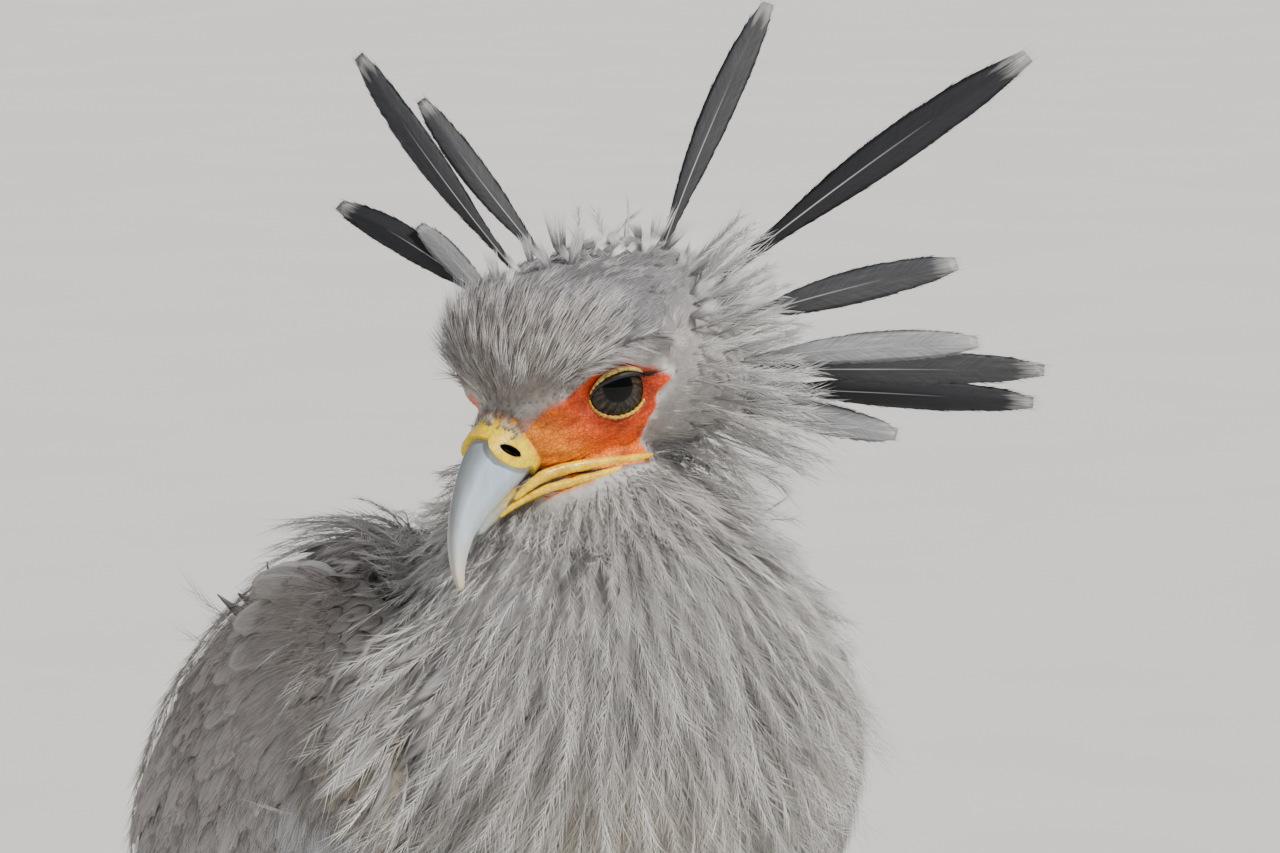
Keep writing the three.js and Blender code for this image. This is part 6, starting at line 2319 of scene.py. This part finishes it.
class BIRD_OT_head_coat(bpy.types.Operator):
    """Cover the head with short feathers, hackles and the bristles of the face"""

    bl_idname = "bird.head_coat"
    bl_label = "Head feathers"

    def execute(self, context):
        skin = bpy.data.objects["skin"]
        ground = Ground(skin)
        soft = plumage_finish("head plumage", 0.68, 1.25)
        for coat in make_head_coat(skin, context.scene.bird_sizes, ground):
            finish_piece(coat, soft, ("head",))
        finish_piece(make_chin_coat(), soft)
        finish_piece(make_brow_coat(bpy.data.objects["cere_skin"]), soft)
        finish_piece(make_bristles(skin), plumage_finish("bristles", 0.9, 1.0))
        pale = plumage_finish("pale plumage", 0.5, 1.2)
        finish_piece(make_hackles(skin, ground), pale, ("crest",))
        finish_piece(make_fringe(ground), pale, ("crest",))
        return {"FINISHED"}


class BIRD_OT_crest(bpy.types.Operator):
    """Raise the long quills of the crest"""

    bl_idname = "bird.crest"
    bl_label = "Crest"

    def execute(self, context):
        finish = vane_finish("crest quills", "#b5b3b2", "#3d3d44", tip=(1.0, 1.1, "#bcbab8"), roughness=0.55, sheen=0.0,
                             streaks=0.25, strands=0.3, edge_share=0.5, shaft_width=0.012, barbs_per_cm=26.0,
                             shaft_end=0.75)
        finish_piece(make_crest(), finish, ("crest",))
        return {"FINISHED"}


class BIRD_OT_body_coat(bpy.types.Operator):
    """Cover neck, breast, belly, back and thighs with loose feathers"""

    bl_idname = "bird.body_coat"
    bl_label = "Body feathers"

    def execute(self, context):
        skin = bpy.data.objects["skin"]
        ground = Ground(skin)
        sizes = context.scene.bird_sizes
        pale = plumage_finish("pale plumage", 0.5, 1.2)
        soft = vane_finish("down", "#8f8b89", "#b5b1ad", streaks=0.1, strands=0.5, edge_share=0.2, roughness=0.8)
        for coat in make_breast_coat(skin, sizes, ground):
            node = ("neck",) if coat.name[0] in "nt" else ("torso",)
            finish_piece(coat, soft if coat.name.endswith("down") else pale, node)
        finish_piece(make_body_coat(skin, sizes, ground), pale, ("torso",))
        black = plumage_finish("black plumage", 0.8, 1.25, roughness=0.7)
        for side, name in ((-1, "right"), (1, "left")):
            coat = make_thigh_coat(skin, side, f"thigh_feathers_{name}", sizes, ground)
            finish_piece(coat, black, (f"thigh_{name}",))
        return {"FINISHED"}


class BIRD_OT_wings(bpy.types.Operator):
    """Lay the coverts and quills of the folded wings"""

    bl_idname = "bird.wings"
    bl_label = "Wings"

    def execute(self, context):
        skin = bpy.data.objects["skin"]
        finish = vane_finish("wing plumage", "#948c86", "#b9b3ae", streaks=0.1, strands=0.3, edge_share=0.15,
                             shaft_width=0.015)
        silk = vane_finish("silky coverts", "#a39b95", "#b4aca6", streaks=0.1, strands=0.35, edge_share=0.12,
                           shaft_width=0.01, roughness=0.7)
        ground = Ground(skin)
        for side, name in ((-1, "right"), (1, "left")):
            finish_piece(make_wing(side, f"wing_feathers_{name}"), finish, (f"wing_{name}",))
            down = make_wing_down(skin, side, f"wing_coverts_{name}", context.scene.bird_sizes, ground)
            finish_piece(down, silk, (f"wing_{name}",))
        return {"FINISHED"}


class BIRD_OT_tail(bpy.types.Operator):
    """Lay the tail's quills, its streamers and their coverts"""

    bl_idname = "bird.tail"
    bl_label = "Tail"

    def execute(self, context):
        finish = vane_finish("tail quills", "#5d5a5a", "#a8a4a2", tip=(0.95, 1.0, "#e4e1dc"),
                             band=(0.76, 0.92, "#1b1a1c"), streaks=0.2)
        finish_piece(make_tail(), finish, ("tail",))
        white = plumage_finish("tail covert plumage", 0.6, 1.1)
        finish_piece(make_tail_coverts(), white, ("tail",))
        return {"FINISHED"}


class BIRD_OT_legs(bpy.types.Operator):
    """Model the scaly shanks and feet with their scutes and claws"""

    bl_idname = "bird.legs"
    bl_label = "Legs"

    def execute(self, context):
        skin = leg_finish()
        scales = plumage_finish("scutes", 0.85, 1.05, 0.3, roughness=0.45, sheen=0.0)
        for side, name in ((-1, "right"), (1, "left")):
            finish_piece(make_leg(side, f"leg_{name}"), skin, (f"shank_{name}", f"foot_{name}"))
            finish_piece(make_scutes(side, f"scutes_{name}"), scales)
        nodes = [f"claw_{side}_{toe[0]}" for side in ("right", "left") for toe in TOES]
        horn = simple_finish("claw horn", "#1d1918", "#3d3532", 0.34, 300.0, 0.2, specular=0.5)
        finish_piece(make_claws(), horn, nodes)
        return {"FINISHED"}


class BIRD_PT_panel(bpy.types.Panel):
    bl_idname = "BIRD_PT_panel"
    bl_label = "Secretary Bird"
    bl_space_type = "VIEW_3D"
    bl_region_type = "UI"
    bl_category = "Bird"

    def draw(self, context):
        column = self.layout.column()
        for group_of in (context.scene.bird_sizes, context.scene.bird_stage):
            for name in group_of.bl_rna.properties.keys():
                if name not in ("rna_type", "name"):
                    column.prop(group_of, name)
        for operator in OPERATORS:
            column.operator(operator.bl_idname)


OPERATORS = (
    BIRD_OT_stage, BIRD_OT_skin, BIRD_OT_eyes, BIRD_OT_bill, BIRD_OT_head_coat, BIRD_OT_crest,
    BIRD_OT_body_coat, BIRD_OT_wings, BIRD_OT_tail, BIRD_OT_legs,
)
CLASSES = (BirdSizes, BirdStage, *OPERATORS, BIRD_PT_panel)


def register():
    for made in CLASSES:
        bpy.utils.register_class(made)
    bpy.types.Scene.bird_sizes = PointerProperty(type=BirdSizes)
    bpy.types.Scene.bird_stage = PointerProperty(type=BirdStage)


def unregister():
    del bpy.types.Scene.bird_stage
    del bpy.types.Scene.bird_sizes
    for made in reversed(CLASSES):
        bpy.utils.unregister_class(made)


def main():
    register()
    bpy.ops.bird.stage()
    bpy.ops.bird.skin()
    bpy.ops.bird.eyes()
    bpy.ops.bird.bill()
    bpy.ops.bird.head_coat()
    bpy.ops.bird.crest()
    bpy.ops.bird.body_coat()
    bpy.ops.bird.wings()
    bpy.ops.bird.tail()
    bpy.ops.bird.legs()


if __name__ == "__main__":
    main()
